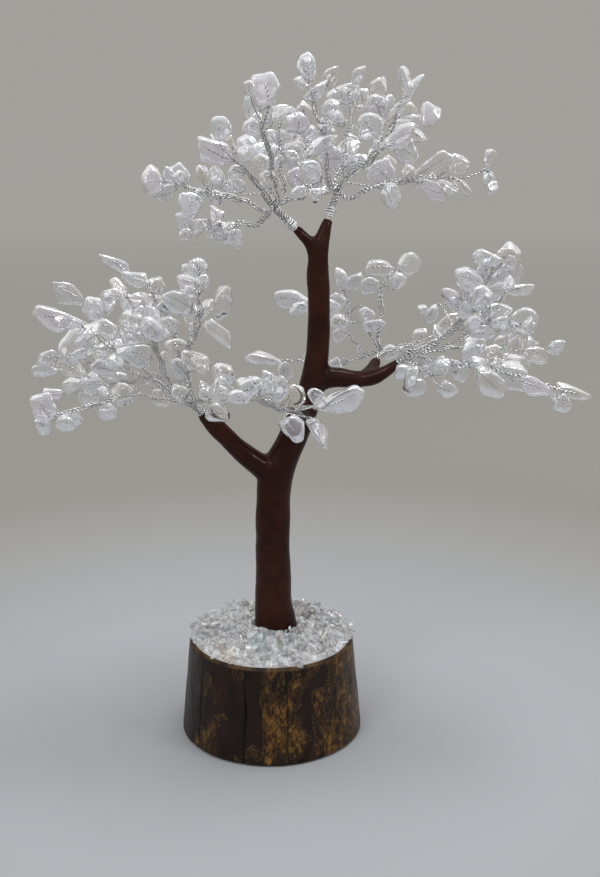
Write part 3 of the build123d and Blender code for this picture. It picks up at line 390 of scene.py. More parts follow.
# Painted shade: the middle of each crack is darkened to near black.
crack_shade_marks = add_node(tree, "ShaderNodeAttribute", {"attribute_name": "crack"}, {})
crack_shaded = add_node(tree, "ShaderNodeMix", {"data_type": "RGBA"},
                   {"Factor": crack_shade_marks.outputs["Fac"], 6: outlined.outputs[2], 7: "#0d0807"})
rim_marks = add_node(tree, "ShaderNodeAttribute", {"attribute_name": "rim"}, {})
rimmed = add_node(tree, "ShaderNodeMix", {"data_type": "RGBA"},
                  {"Factor": rim_marks.outputs["Fac"], 6: crack_shaded.outputs[2], 7: "#6f5533"})
fibres = add_node(tree, "ShaderNodeBump", {}, {"Strength": 0.8, "Distance": FIBRE_DEPTH,
                                               "Height": under.outputs["Fac"]})
varnish = add_node(tree, "ShaderNodeMapRange", {},
                   {"Value": stain.outputs["Fac"], "To Min": 0.3, "To Max": 0.6})
add_node(tree, shader, {}, {
    "Base Color": rimmed.outputs[2], "Roughness": varnish.outputs["Result"],
    "Normal": fibres.outputs["Normal"], "Coat Normal": fibres.outputs["Normal"],
    "IOR": 1.5, "Specular IOR Level": 0.06, "Coat Weight": 0.28, "Coat Roughness": 0.12,
})
stained_log = material
print(material.name, "nodes:", len(tree.nodes))

# %% [markdown]
# Clear craft glue holds the stems in their socket and the crumbs on the base. It cures slightly milky,
# with a wet-looking skin and a few trapped bubbles.

# %% Cured clear glue
material, tree, shader, place = new_material("cured_clear_glue")
bubbles = add_node(tree, "ShaderNodeTexVoronoi", {}, {"Vector": place, "Scale": repeats(1.5)})
haze = add_node(tree, "ShaderNodeValToRGB",
                {"stops": [(0.1, "#ffffff"), (0.5, "#f2f4f6")]}, {"Fac": bubbles.outputs["Distance"]})
wet = add_node(tree, "ShaderNodeMapRange", {}, {"Value": bubbles.outputs["Distance"], "To Min": 0.12,
                                                "To Max": 0.3})
add_node(tree, shader, {}, {"Base Color": haze.outputs["Color"], "Roughness": wet.outputs["Result"],
                            "IOR": 1.48, "Transmission Weight": 0.1})
clear_glue = material
print("materials:", len(bpy.data.materials))

# %% [markdown]
# Each CAD node holds many solids: one for every wire and every chip. Welding the corners and walking from
# corner to corner parts them again. They are put in order by place, so that the random draws that follow
# fall on the same chip in every run.

# %% Part the solids of a node
WELD = 0.002 * MM


def solids_of(node):
    """The solids of a CAD node, each as its corner points and triangles."""
    whole = bmesh.new()
    whole.from_mesh(frame["nodes"][node].data)
    bmesh.ops.remove_doubles(whole, verts=whole.verts, dist=WELD)
    bmesh.ops.triangulate(whole, faces=whole.faces)
    whole.verts.index_update()
    points = np.array([vertex.co[:] for vertex in whole.verts])
    owner = {}
    for seed in whole.verts:
        waiting = [] if seed.index in owner else [seed]
        while waiting:
            vertex = waiting.pop()
            if vertex.index not in owner:
                owner[vertex.index] = seed.index
                waiting.extend(edge.other_vert(vertex) for edge in vertex.link_edges)
    triangles = {}
    for face in whole.faces:
        triangles.setdefault(owner[face.verts[0].index], []).append([vertex.index for vertex in face.verts])
    whole.free()
    solids = []
    for group in triangles.values():
        kept, renumbered = np.unique(np.array(group), return_inverse=True)
        solids.append((points[kept], renumbered.reshape(-1, 3)))
    solids.sort(key=lambda solid: tuple(np.round(solid[0].mean(axis=0) / MM, 2)))
    return solids


def unit(vectors):
    """The vectors at length one."""
    return vectors / np.linalg.norm(vectors, axis=-1, keepdims=True)


def new_piece(name, points, faces, materials, body, smooth=True):
    """A mesh object that rides on a body."""
    mesh = bpy.data.meshes.new(name)
    mesh.from_pydata(np.asarray(points).tolist(), [], faces)
    mesh.validate()
    for material in materials:
        mesh.materials.append(material)
    mesh.polygons.foreach_set("use_smooth", [smooth] * len(mesh.polygons))
    piece = bpy.data.objects.new(name, mesh)
    bpy.context.scene.collection.objects.link(piece)
    if body:
        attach(piece, body)
    return piece


print("chips of the front spray:", len(solids_of("front_chips")))

# %% [markdown]
# A CAD wire is a six-sided tube. Its line is found by starting at one end face and stepping from ring to
# ring; each ring's middle is a point of the line. The line is then bent smoothly through those points, as
# soft wire bends, with a slight waver in the long branches, because nobody bends wire perfectly straight
# by hand.

# %% Find the line of a wire
WIRE_SIDES = 6
FLAT_WITHIN = 0.004 * MM
ROUND_WITHIN_SHARE = 0.03
UPRIGHT_WITHIN = 0.1


def ring_centres(points, triangles, near):
    """The middles of a wire's rings, from the end that lies nearer to the given point."""
    for corner in triangles:
        normal = unit(np.cross(points[corner[1]] - points[corner[0]], points[corner[2]] - points[corner[0]]))
        level = np.abs((points - points[corner[0]]) @ normal) < FLAT_WITHIN
        reach = np.linalg.norm(points[level] - points[level].mean(axis=0), axis=1)
        if level.sum() == WIRE_SIDES and np.ptp(reach) < ROUND_WITHIN_SHARE * reach.mean():
            break
    neighbours = {}
    for a, b, c in triangles:
        for one, two in ((a, b), (b, c), (c, a)):
            neighbours.setdefault(one, set()).add(two)
            neighbours.setdefault(two, set()).add(one)
    rings = [set(np.flatnonzero(level))]
    passed = set(rings[0])
    while True:
        ring = set().union(*(neighbours[index] for index in rings[-1])) - passed
        if not ring:
            break
        rings.append(ring)
        passed |= ring
    centres = np.array([points[sorted(ring)].mean(axis=0) for ring in rings])
    flip = np.linalg.norm(centres[0] - near) > np.linalg.norm(centres[-1] - near)
    return centres[::-1] if flip else centres


def flowing_path(stops, step):
    """Points at about even steps on a smooth curve through the stops."""
    spans = np.linalg.norm(np.diff(stops, axis=0), axis=1)
    slopes = np.diff(stops, axis=0) / spans[:, None]
    weighted = slopes[:-1] * spans[1:, None] + slopes[1:] * spans[:-1, None]
    inner = weighted / (spans[:-1] + spans[1:])[:, None]
    headings = np.vstack([slopes[:1], inner, slopes[-1:]])
    path = [stops[:1]]
    for index, span in enumerate(spans):
        count = max(int(math.ceil(span / step)), 1)
        t = (np.arange(1, count + 1) / count)[:, None]
        path.append(
            (2 * t ** 3 - 3 * t ** 2 + 1) * stops[index] + (t ** 3 - 2 * t ** 2 + t) * span * headings[index]
            + (3 * t ** 2 - 2 * t ** 3) * stops[index + 1] + (t ** 3 - t ** 2) * span * headings[index + 1]
        )
    return np.vstack(path)


def travelled(path):
    """The length of the path up to each of its points."""
    return np.concatenate([[0.0], np.cumsum(np.linalg.norm(np.diff(path, axis=0), axis=1))])


def carried_axes(path):
    """A heading and two side vectors at each point of a path, turned as little as possible on the way."""
    heading = unit(np.gradient(path, axis=0))
    start = np.cross(heading[0], (0.0, 0.0, 1.0))
    if np.linalg.norm(start) < UPRIGHT_WITHIN:
        start = np.cross(heading[0], (0.0, 1.0, 0.0))
    side = [unit(start)]
    for ahead in heading[1:]:
        side.append(unit(side[-1] - np.dot(side[-1], ahead) * ahead))
    side = np.array(side)
    return heading, side, np.cross(heading, side)


front_wire = solids_of("front_branch_wires")[0]
print("rings of one front wire:", len(ring_centres(*front_wire, np.zeros(3))))

# %% [markdown]
# Two strands run round the line half a turn apart, each a little under half as thick as the finished
# wire. A tube is laid along each strand, with its rings square to the strand, and the corners that face
# the other strand are marked as groove, where painted shade goes. A thousand turns of this are still a
# light mesh: a ring needs only six corners at this size.

# %% Twist two strands along a line
STRAND_SIDES = 6
STRAND_SHARE = 0.47
GROOVE_SHADE_SHARE = 1.5
STEPS_PER_TURN = 8
TWIST_PITCH = 3.2 * MM
PITCH_SHARES = (0.85, 1.2)


class Tubes:
    """Gathers tubes into one mesh."""

    def __init__(self):
        self.points = []
        self.faces = []
        self.groove_shades = []
        self.count = 0

    def add(self, rings, groove):
        """Closes rings of points into a tube, with a cap at each end."""
        steps, sides = rings.shape[:2]
        for step in range(steps - 1):
            low = self.count + step * sides
            for side in range(sides):
                after = (side + 1) % sides
                self.faces.append((low + side, low + after, low + sides + after, low + sides + side))
        self.faces.append(tuple(range(self.count + sides - 1, self.count - 1, -1)))
        self.faces.append(tuple(range(self.count + (steps - 1) * sides, self.count + steps * sides)))
        self.points.append(rings.reshape(-1, 3))
        self.groove_shades.append(np.tile(groove, steps))
        self.count += steps * sides

    def add_line(self, path, outward, radius, sides, shaded_groove=False):
        """A tube along a path; outward gives the first side vector of each ring, away from any groove."""
        heading = unit(np.gradient(path, axis=0))
        across = unit(outward - (outward * heading).sum(axis=1, keepdims=True) * heading)
        along = np.cross(heading, across)
        angles = 2 * math.pi * np.arange(sides) / sides
        # The corners that face the other strand get painted shade.
        groove = np.clip(GROOVE_SHADE_SHARE - (1.0 + np.cos(angles)), 0.0, GROOVE_SHADE_SHARE) / GROOVE_SHADE_SHARE * shaded_groove
        self.add(path[:, None] + radius * (np.cos(angles)[None, :, None] * across[:, None]
                                           + np.sin(angles)[None, :, None] * along[:, None]), groove)

    def add_pair(self, path, diameter, draw):
        """Two twisted strands along a path."""
        pitch = TWIST_PITCH * draw.uniform(*PITCH_SHARES)
        travel = travelled(path)
        turn = 2 * math.pi * (travel / pitch + draw.random())
        side, other = carried_axes(path)[1:]
        strand = STRAND_SHARE * diameter / 2
        for half in (0.0, math.pi):
            outward = np.cos(turn + half)[:, None] * side + np.sin(turn + half)[:, None] * other
            self.add_line(path + (diameter / 2 - strand) * outward, outward, strand, STRAND_SIDES, True)

    def piece(self, name, materials, body):
        """The gathered tubes as one piece, with the marks of its painted groove shade."""
        made = new_piece(name, np.vstack(self.points), self.faces, materials, body)
        marks = made.data.attributes.new("groove", "FLOAT", "POINT")
        marks.data.foreach_set("value", np.concatenate(self.groove_shades))
        return made


print("corners in one turn of a twisted pair:", 2 * STRAND_SIDES * STEPS_PER_TURN)

# %% [markdown]
# Now the sprays. Every chip hangs on a wire pair of its own. The branch's pair goes on to its tip, and
# each twig's pair is wound loosely round the branch for a stretch, which holds it, before it leaves for
# its chip. So a branch is thick where many twigs grip it and thins out on the way, as on the real tree.
# The joint in the record gives the neck's place. The wires end inside their chips, where the drilled hole
# ends.

# %% How wires waver and wind
BRANCH_DIAMETER = 0.95 * MM
TWIG_DIAMETER = 0.64 * MM
WAVER = 0.28 * MM
WAVER_LENGTH = 7.0 * MM
WAVER_FREE = 10.0 * MM
WAVER_PHASES = 6
WAVER_SLOW_SHARE = 0.7
LAY_LENGTHS = (22.0 * MM, 42.0 * MM)
LAY_RADII = (0.75 * MM, 1.5 * MM)
LAY_RUNS = (8.0 * MM, 26.0 * MM)
LAY_CLOSES = 6.0 * MM
LAY_STEP = 2.4 * MM
LAY_CLEAR = 2.6 * MM
LAY_START = 1.0 * MM
TIP_TRIM = 2.6 * MM
WIRE_SEED = 5

joints = {joint["child"][:-len("_spray")]: joint for joint in frame["joints"]}
branch_starts = {}
spray_branches = {}
wire_draw = random.Random(WIRE_SEED)


def wavered(path, draw):
    """The path with a slight waver that fades out towards both ends."""
    travel = travelled(path)
    free = np.clip(travel / WAVER_FREE, 0, 1) * np.clip((travel[-1] - travel - WAVER_FREE) / WAVER_FREE, 0, 1)
    side, other = carried_axes(path)[1:]
    turn = 2 * math.pi * travel / WAVER_LENGTH
    sway = np.sin(turn + WAVER_PHASES * draw.random())[:, None] * side
    sway = sway + np.sin(WAVER_SLOW_SHARE * turn + WAVER_PHASES * draw.random())[:, None] * other
    return path + WAVER * free[:, None] * sway


def trimmed(path):
    """The path, ended a little short, where the drilled hole ends."""
    travel = travelled(path)
    return path[travel < travel[-1] - TIP_TRIM]


def wound_start(branch, twig_stops, draw):
    """Points that wind a twig's wire round its branch, on the stretch before the twig leaves."""
    leave = np.linalg.norm(branch - twig_stops[0], axis=1).argmin()
    travel = travelled(branch)
    side, other = carried_axes(branch)[1:]
    off = twig_stops[0] - branch[leave]
    angle = math.atan2(np.dot(off, other[leave]), np.dot(off, side[leave]))
    lay = draw.uniform(*LAY_LENGTHS) * draw.choice((-1, 1))
    loose = draw.uniform(*LAY_RADII)
    first = max(LAY_START, travel[leave] - draw.uniform(*LAY_RUNS))
    points = []
    for spot in np.arange(first, travel[leave] - LAY_CLEAR, LAY_STEP):
        index = np.searchsorted(travel, spot)
        turn = angle - 2 * math.pi * (travel[leave] - spot) / lay
        near_end = min(spot - first, travel[leave] - spot) / LAY_CLOSES
        radius = LAY_RADII[0] + (loose - LAY_RADII[0]) * min(near_end, 1.0)
        points.append(branch[index] + radius * (math.cos(turn) * side[index] + math.sin(turn) * other[index]))
    return points


print("necks in the record:", ", ".join(joints))

# %% [markdown]
# The wires of a spray become two pieces, its branches and its twigs. A twig belongs to the branch that
# one of its ends almost touches, so that end is found first, and its line is led on round that branch.

# %% Lay the wires of every spray
step = TWIST_PITCH / STEPS_PER_TURN
for spray in SPRAYS:
    pivot = np.array(joints[spray]["pos_m"])
    tubes = Tubes()
    branches, starts = [], []
    for points, triangles in solids_of(f"{spray}_branch_wires"):
        stops = ring_centres(points, triangles, pivot)
        starts.append(stops[0])
        branches.append(wavered(flowing_path(stops, step), wire_draw))
        tubes.add_pair(trimmed(branches[-1]), BRANCH_DIAMETER, wire_draw)
    branch_starts[spray] = np.array(starts)
    spray_branches[spray] = branches
    piece = tubes.piece(f"{spray}_branch_twists", [silver_wire], f"{spray}_spray")
    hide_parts(f"{spray}_branch_wires")
    print(piece.name, "wires:", len(branches), "points:", tubes.count)
    tubes = Tubes()
    for points, triangles in solids_of(f"{spray}_twig_wires"):
        centres = ring_centres(points, triangles, pivot)
        ends = (centres[0], centres[-1])
        gaps = [[np.linalg.norm(branch - end, axis=1).min() for branch in branches] for end in ends]
        stops = centres if min(gaps[0]) < min(gaps[1]) else centres[::-1]
        branch = branches[int(np.argmin(min(gaps, key=min)))]
        stops = np.array(wound_start(branch, stops, wire_draw) + list(stops))
        tubes.add_pair(trimmed(flowing_path(stops, step)), TWIG_DIAMETER, wire_draw)
    piece = tubes.piece(f"{spray}_twig_twists", [silver_wire], f"{spray}_spray")
    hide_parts(f"{spray}_twig_wires")
    print(piece.name, "points:", tubes.count)

# %% [markdown]
# Between limb and spray the wires lie in a laid bundle, turned about its axis like rope. The bundle
# runs from the trunk at its foot to the spray at its top; it is laid at rest and rides on neither body.

# %% Necks
NECK_TURN = math.radians(130)
NECK_STEPS = 14
NECK_PINCH_SHARE = 0.82
NECK_OVERLAP = 0.6 * MM

neck_axes = {}
for spray in SPRAYS:
    pivot = np.array(joints[spray]["pos_m"])
    top = branch_starts[spray].mean(axis=0)
    axis = unit(top - pivot)
    node_points = np.array([vertex.co[:] for vertex in frame["nodes"][f"{spray}_neck"].data.vertices])
    rises = (node_points - pivot) @ axis
    low, high = rises.min(), rises.max()
    neck_axes[spray] = (pivot, axis)
    tubes = Tubes()
    for start in branch_starts[spray]:
        off_axis = start - pivot - np.dot(start - pivot, axis) * axis
        across = np.cross(axis, off_axis)
        path = []
        for share in np.linspace(0.0, 1.0, NECK_STEPS):
            angle = NECK_TURN * (share - 1.0)
            pinch = 1.0 - (1.0 - NECK_PINCH_SHARE) * math.sin(math.pi * share)
            rise = low - NECK_OVERLAP + share * (high - low + 2 * NECK_OVERLAP)
            path.append(pivot + rise * axis + pinch * (math.cos(angle) * off_axis + math.sin(angle) * across))
        path = flowing_path(np.array(path), TWIST_PITCH / STEPS_PER_TURN)
        tubes.add_pair(path, BRANCH_DIAMETER, wire_draw)
    piece = tubes.piece(f"{spray}_neck_bundle", [silver_wire], None)
    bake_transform(piece)
    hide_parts(f"{spray}_neck")
    print(piece.name, "strands:", 2 * len(branch_starts[spray]))

# %% [markdown]
# On the two top limbs a separate wire is wound round the bare stem to bind it. The turns are pulled tight
# but never lie quite evenly, so each turn's height is nudged a little.

# %% Windings
WINDING_DIAMETER = 0.8 * MM
WINDING_TURNS = 4
WINDING_STEPS = 28
WINDING_SIDES = 8
WINDING_NUDGE = 0.12 * MM
NUDGE_RATE = 2.3
NUDGE_START = 1.0

for spray in SPRAYS:
    if f"{spray}_winding" not in frame["nodes"]:
        continue
    pivot, axis = neck_axes[spray]
    node_points = np.array([vertex.co[:] for vertex in frame["nodes"][f"{spray}_winding"].data.vertices])
    rise = (node_points - pivot) @ axis
    outward = node_points - pivot - rise[:, None] * axis
    radius = np.linalg.norm(outward, axis=1).max() - WINDING_DIAMETER / 2
    side = unit(np.cross(axis, (0.0, 1.0, 0.0)))
    other = np.cross(axis, side)
    turns = np.linspace(0.0, WINDING_TURNS, WINDING_TURNS * WINDING_STEPS + 1)
    span = rise.max() - rise.min() - WINDING_DIAMETER
    climb = rise.min() + WINDING_DIAMETER / 2 + span * turns / WINDING_TURNS
    climb = climb + WINDING_NUDGE * np.sin(NUDGE_RATE * turns + NUDGE_START)
    climb = np.clip(climb, rise.min() + WINDING_DIAMETER / 2, rise.max() - WINDING_DIAMETER / 2)
    angle = 2 * math.pi * turns
    out = np.cos(angle)[:, None] * side + np.sin(angle)[:, None] * other
    tubes = Tubes()
    tubes.add_line(pivot + climb[:, None] * axis + radius * out, out, WINDING_DIAMETER / 2, WINDING_SIDES)
    piece = tubes.piece(f"{spray}_binding_wire", [silver_wire], "trunk")
    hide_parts(f"{spray}_winding")
    print(piece.name, "turns:", WINDING_TURNS)

# %% [markdown]
# A tumbled chip is a flake of broken stone: two broad faces, a rim of five to eight cuts, often a ridge,
# and every edge worn soft. So each chip is a ball whose points are pulled in to a handful of planes,
# through a smooth minimum that rounds the edges. The planes are drawn to the length, width and thickness
# of the CAD chip, which also gives its axis: its two end faces are the only ones that face exactly
# opposite ways.

# %% Quartz chips
CHIP_BALL = 4
CHIP_SOFTNESS = 10
FLAKE_FILL_SHARES = (1.06, 1.3)
THROUGH_SHARES = (0.6, 0.95)
BROAD_TILT = 0.2
RIDGE_COUNTS = (0, 2)
RIDGE_TILTS = (0.6, 1.2)
RIM_COUNTS = (5, 8)
RIM_SHAKE = 0.36
RIM_TILT = 0.4
SWELL_SHARE = 0.1
SWELL_SCALE = 1.7
CHIP_SEED = 23
ALONG_Y_WITHIN = 0.2
SHIFT_SPAN = 10


def unit_ball(subdivisions):
    """Even directions in all ways, and the triangles between them."""
    ball = bmesh.new()
    bmesh.ops.create_icosphere(ball, subdivisions=subdivisions, radius=1.0)
    directions = np.array([vertex.co[:] for vertex in ball.verts])
    faces = np.array([[vertex.index for vertex in face.verts] for face in ball.faces])
    ball.free()
    return directions, faces


def chip_frame(points, triangles):
    """A chip's middle, its three axes (along the hole, across, and through) and its half sizes along them."""
    normals = np.cross(points[triangles[:, 1]] - points[triangles[:, 0]],
                       points[triangles[:, 2]] - points[triangles[:, 0]])
    middle = points.mean(axis=0)
    reach = ((points[triangles[:, 0]] - middle) * normals).sum(axis=1)
    outer = [index for index, normal in enumerate(normals)
             if ((points - middle) @ normal).max() < reach[index] + FLAT_WITHIN * np.linalg.norm(normal)]
    ways = unit(normals[outer])
    along = ways[(ways @ ways.T).min(axis=1).argmin()]
    across = np.cross(along, (0.0, 1.0, 0.0))
    if np.linalg.norm(across) < ALONG_Y_WITHIN:
        across = np.cross(along, (0.0, 0.0, 1.0))
    across = unit(across)
    axes = np.array([along, across, np.cross(across, along)])
    spans = (points - middle) @ axes.T
    return middle + (spans.max(axis=0) + spans.min(axis=0)) / 2 @ axes, axes, np.ptp(spans, axis=0) / 2


def flake_planes(halves, draw):
    """Directions and distances of the planes that bound a flake of these half sizes."""
    ways = []
    for face in (-1.0, 1.0):
        ways.append((draw.uniform(-BROAD_TILT, BROAD_TILT), draw.uniform(-BROAD_TILT, BROAD_TILT), face))
    for _ in range(draw.randint(*RIDGE_COUNTS)):
        angle = draw.uniform(0.0, 2 * math.pi)
        tilt = draw.uniform(*RIDGE_TILTS)
        ways.append((tilt * math.cos(angle), tilt * math.sin(angle), draw.choice((-1.0, 1.0))))
    count = draw.randint(*RIM_COUNTS)
    first = draw.random()
    for index in range(count):
        angle = 2 * math.pi * (index + first + draw.uniform(-RIM_SHAKE, RIM_SHAKE)) / count
        rim = unit(np.array([math.cos(angle) / halves[0], math.sin(angle) / halves[1]]))
        ways.append((rim[0], rim[1], draw.uniform(-RIM_TILT, RIM_TILT)))
    ways = unit(np.array(ways))
    fill = np.array([draw.uniform(*FLAKE_FILL_SHARES) for _ in ways])
    return ways, fill * np.linalg.norm(ways * halves, axis=1)


def worn_reach(directions, normals, reaches, softness):
    """How far a stone reaches each way between its planes, with its edges worn round."""
    toward = np.maximum(directions @ normals.T, 0.0) / reaches
    return (toward ** softness).sum(axis=1) ** (-1.0 / softness)


def random_shift(draw):
    """A place in the noise, so that no two stones swell alike."""
    return Vector([SHIFT_SPAN * draw.random() for _ in range(3)])


def stone_points(ways, halves, planes, shift):
    """Where a worn, slightly swollen flake ends, each way out of its middle."""
    stretched = unit(ways * halves)
    reach = worn_reach(stretched, *planes, CHIP_SOFTNESS)
    swell = np.array([noise.noise(SWELL_SCALE * Vector(way) + shift) for way in ways])
    return (reach * (1.0 + SWELL_SHARE * swell))[:, None] * stretched


ball_ways, ball_faces = unit_ball(CHIP_BALL)
print("points of one chip:", len(ball_ways))

# %% [markdown]
# Every chip is cut in the frame of its CAD solid, so it sits on its wire as the solid does. No point may
# leave the box of the CAD model, so the few that would are held at its sides.

# %% Cut every chip
box_low = np.array(cad_low)
box_high = np.array(cad_high)
chip_draw = random.Random(CHIP_SEED)
spray_stones = {}
for spray in SPRAYS:
    chip_points, chip_faces = [], []
    spray_stones[spray] = []
    for points, triangles in solids_of(f"{spray}_chips"):
        middle, axes, halves = chip_frame(points, triangles)
        halves[2] *= chip_draw.uniform(*THROUGH_SHARES)
        planes = flake_planes(halves, chip_draw)
        shift = random_shift(chip_draw)
        stone = stone_points(ball_ways, halves, planes, shift)
        spray_stones[spray].append((middle, halves))
        chip_faces.append(ball_faces + len(chip_points) * len(ball_ways))
        chip_points.append(np.clip(middle + stone @ axes, box_low, box_high))
    piece = new_piece(f"{spray}_quartz_chips", np.vstack(chip_points), np.vstack(chip_faces).tolist(),
                      [tumbled_quartz], f"{spray}_spray")
    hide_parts(f"{spray}_chips")
    print(piece.name, "chips:", len(chip_points))

# %% [markdown]
# The trunk's CAD solid is built from lofts that meet in sharp creases, with a channel for each wire stem.
# The real one was pressed together by hand. So plugs fill the channels of a copy, and a voxel remesh
# turns it into one even skin. Smoothing then melts the creases, and slow noise adds finger lumps.

# %% Rough trunk
PLUG_RADIUS = 2.0 * MM
PLUG_SIDES = 8

plugs = Tubes()
for spray in SPRAYS:
    line = ring_centres(*solids_of(f"{spray}_stem")[0], np.zeros(3))
    line = line[1:-1] if f"{spray}_winding" in frame["nodes"] else line[1:]
    plugs.add_line(line, carried_axes(line)[1], PLUG_RADIUS, PLUG_SIDES)
plug_mesh = bpy.data.meshes.new("trunk_plugs")
plug_mesh.from_pydata(np.vstack(plugs.points).tolist(), [], plugs.faces)
skin_mesh = bmesh.new()
skin_mesh.from_mesh(frame["nodes"]["trunk_coat"].data)
bmesh.ops.remove_doubles(skin_mesh, verts=skin_mesh.verts, dist=WELD)
skin_mesh.from_mesh(plug_mesh)
bpy.data.meshes.remove(plug_mesh)
rough_mesh = bpy.data.meshes.new("trunk_rough")
skin_mesh.to_mesh(rough_mesh)
skin_mesh.free()
rough_trunk = bpy.data.objects.new("trunk_rough", rough_mesh)
bpy.context.scene.collection.objects.link(rough_trunk)
print("rough trunk points:", len(rough_mesh.vertices))

# %% [markdown]
# Voxels of under a millimetre keep the thin ends of the limbs. The finger lumps come last, because the
# smoothing would take them off again.

# %% Moulded trunk
TRUNK_VOXEL = 0.8 * MM
SMOOTH_ROUNDS = 12
SMOOTH_SHARE = 0.5
# The width and the height of the large and the small finger lumps.
LUMPS = ((13.0 * MM, 0.45 * MM), (5.0 * MM, 0.12 * MM))
LUMP_SHIFT = Vector((3.1, 7.7, 1.9))

remesh = rough_trunk.modifiers.new("even_skin", "REMESH")
remesh.mode = "VOXEL"
remesh.voxel_size = TRUNK_VOXEL
melt = rough_trunk.modifiers.new("melted_creases", "SMOOTH")
melt.factor = SMOOTH_SHARE
melt.iterations = SMOOTH_ROUNDS
depsgraph = bpy.context.evaluated_depsgraph_get()
trunk_mesh = bpy.data.meshes.new_from_object(rough_trunk.evaluated_get(depsgraph))
bpy.data.objects.remove(rough_trunk)
trunk_mesh.name = "moulded_trunk"
for vertex in trunk_mesh.vertices:
    lift = sum(height * noise.noise(vertex.co / size + LUMP_SHIFT) for size, height in LUMPS)
    vertex.co = vertex.co + lift * vertex.normal
trunk_mesh.materials.clear()
trunk_mesh.materials.append(resin_clay)
trunk_mesh.polygons.foreach_set("use_smooth", [True] * len(trunk_mesh.polygons))
trunk = bpy.data.objects.new("moulded_trunk", trunk_mesh)
bpy.context.scene.collection.objects.link(trunk)
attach(trunk, "trunk")
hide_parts("trunk_coat")
print("moulded_trunk: points", len(trunk_mesh.vertices))

# %% [markdown]
# Between the drilled chips sit smaller ones, caught in the end of a short side wire. They fill the crown,
# so that the tree looks full from a step away. Each is tried at a few random places beside its branch,
# and kept only where it leaves room: to the stones of its own spray, to the trunk, and to the other
# sprays, also when the necks are bent to their limits.

# %% Room for small chips
SMALL_HALF_SIZES = (1.8 * MM, 3.1 * MM)
SMALL_ROOM = 0.8 * MM
CROWDING_SHARE = 0.8
# The trunk and the wires have so many points that every eighth is enough to measure the room by.
POINTS_EVERY = 8
BENDS = ("low", "rest", "high")


def bent(points, spray, bend):
    """Points of a spray at rest, or with its neck bent to its lower or upper limit."""
    low, high = joints[spray]["range_deg"]
    degrees = {"low": low, "rest": 0.0, "high": high}[bend]
    turn = np.array(Matrix.Rotation(math.radians(degrees), 3, Vector(joints[spray]["axis"])))
    pivot = np.array(joints[spray]["pos_m"])
    return pivot + (points - pivot) @ turn.T


trunk_points = np.array([vertex.co[:] for vertex in trunk_mesh.vertices])[::POINTS_EVERY]
obstacles = {}
for spray in SPRAYS:
    wire_points = np.vstack([branch[::POINTS_EVERY] for branch in spray_branches[spray]])
    middles = np.vstack([np.array([stone[0] for stone in spray_stones[spray]]), wire_points])
    reaches = np.concatenate([[stone[1].max() for stone in spray_stones[spray]],
                              np.full(len(wire_points), BRANCH_DIAMETER)])
    obstacles[spray] = [(bent(middles, spray, bend), reaches) for bend in BENDS]


def has_room(spot, reach, spray):
    """Whether a small chip has room at a spot, at rest and with the necks bent."""
    if (spot - reach < box_low).any() or (spot + reach > box_high).any():
        return False
    for middle, halves in spray_stones[spray]:
        if np.linalg.norm(middle - spot) < CROWDING_SHARE * (halves.mean() + reach):
            return False
    for bend in BENDS:
        moved = bent(spot, spray, bend)
        if np.linalg.norm(trunk_points - moved, axis=1).min() < reach + SMALL_ROOM:
            return False
        others = [pair for other in SPRAYS if other != spray for pair in obstacles[other]]
        for middles, reaches in others:
            if (np.linalg.norm(middles - moved, axis=1) < reaches + reach + SMALL_ROOM).any():
                return False
    return True


print("obstacles:", {spray: len(obstacles[spray][0][1]) for spray in SPRAYS})

# %% [markdown]
# A small chip's wire leaves its branch along it and then bends away, as a side wire does. The crown gets
# most of the small chips, the side sprays get a few, and the front and back sprays stay open.

# %% One small chip
SMALL_LENGTHS = (2.5 * MM, 6.0 * MM)
SMALL_WIDTH_SHARES = (0.6, 0.85)
SMALL_THICKNESS_SHARES = (0.4, 0.6)
SMALL_TRIES = 8
SMALL_LEAN = 0.7
SMALL_SEED = 57

small_draw = random.Random(SMALL_SEED)


def free_spot(start, heading, side, other, half, spray):
    """A spot beside a branch where a small chip has room, and the way there, or nothing."""
    for _ in range(SMALL_TRIES):
        angle = small_draw.uniform(0.0, 2 * math.pi)
        way = unit(math.cos(angle) * side + math.sin(angle) * other + SMALL_LEAN * heading)
        spot = start + small_draw.uniform(*SMALL_LENGTHS) * way
        if has_room(spot, half, spray):
            return spot, way
    return None


def small_stone(spot, way, half):
    """The points of a small chip on the end of its wire, and its half sizes."""
    width = small_draw.uniform(*SMALL_WIDTH_SHARES)
    thickness = small_draw.uniform(*SMALL_THICKNESS_SHARES)
    halves = half * np.array([1.0, width, thickness])
    roll = unit(np.cross(way, [small_draw.gauss(0.0, 1.0) for _ in range(3)]))
    axes = np.array([way, roll, np.cross(roll, way)])
    planes = flake_planes(halves, small_draw)
    stone = stone_points(ball_ways, halves, planes, random_shift(small_draw))
    return np.clip(spot + stone @ axes, box_low, box_high), halves


print("random seed of the small chips:", SMALL_SEED)

# %% Small chips
SMALL_CHANCES = {"top_left": 0.5, "top_right": 0.5, "left": 0.3, "right": 0.3}
SMALL_FROM_SHARE = 0.4
SMALL_TIP_CLEAR = 6.0 * MM
SMALL_STEP = 4.0 * MM
SMALL_BEFORE = 4.0 * MM

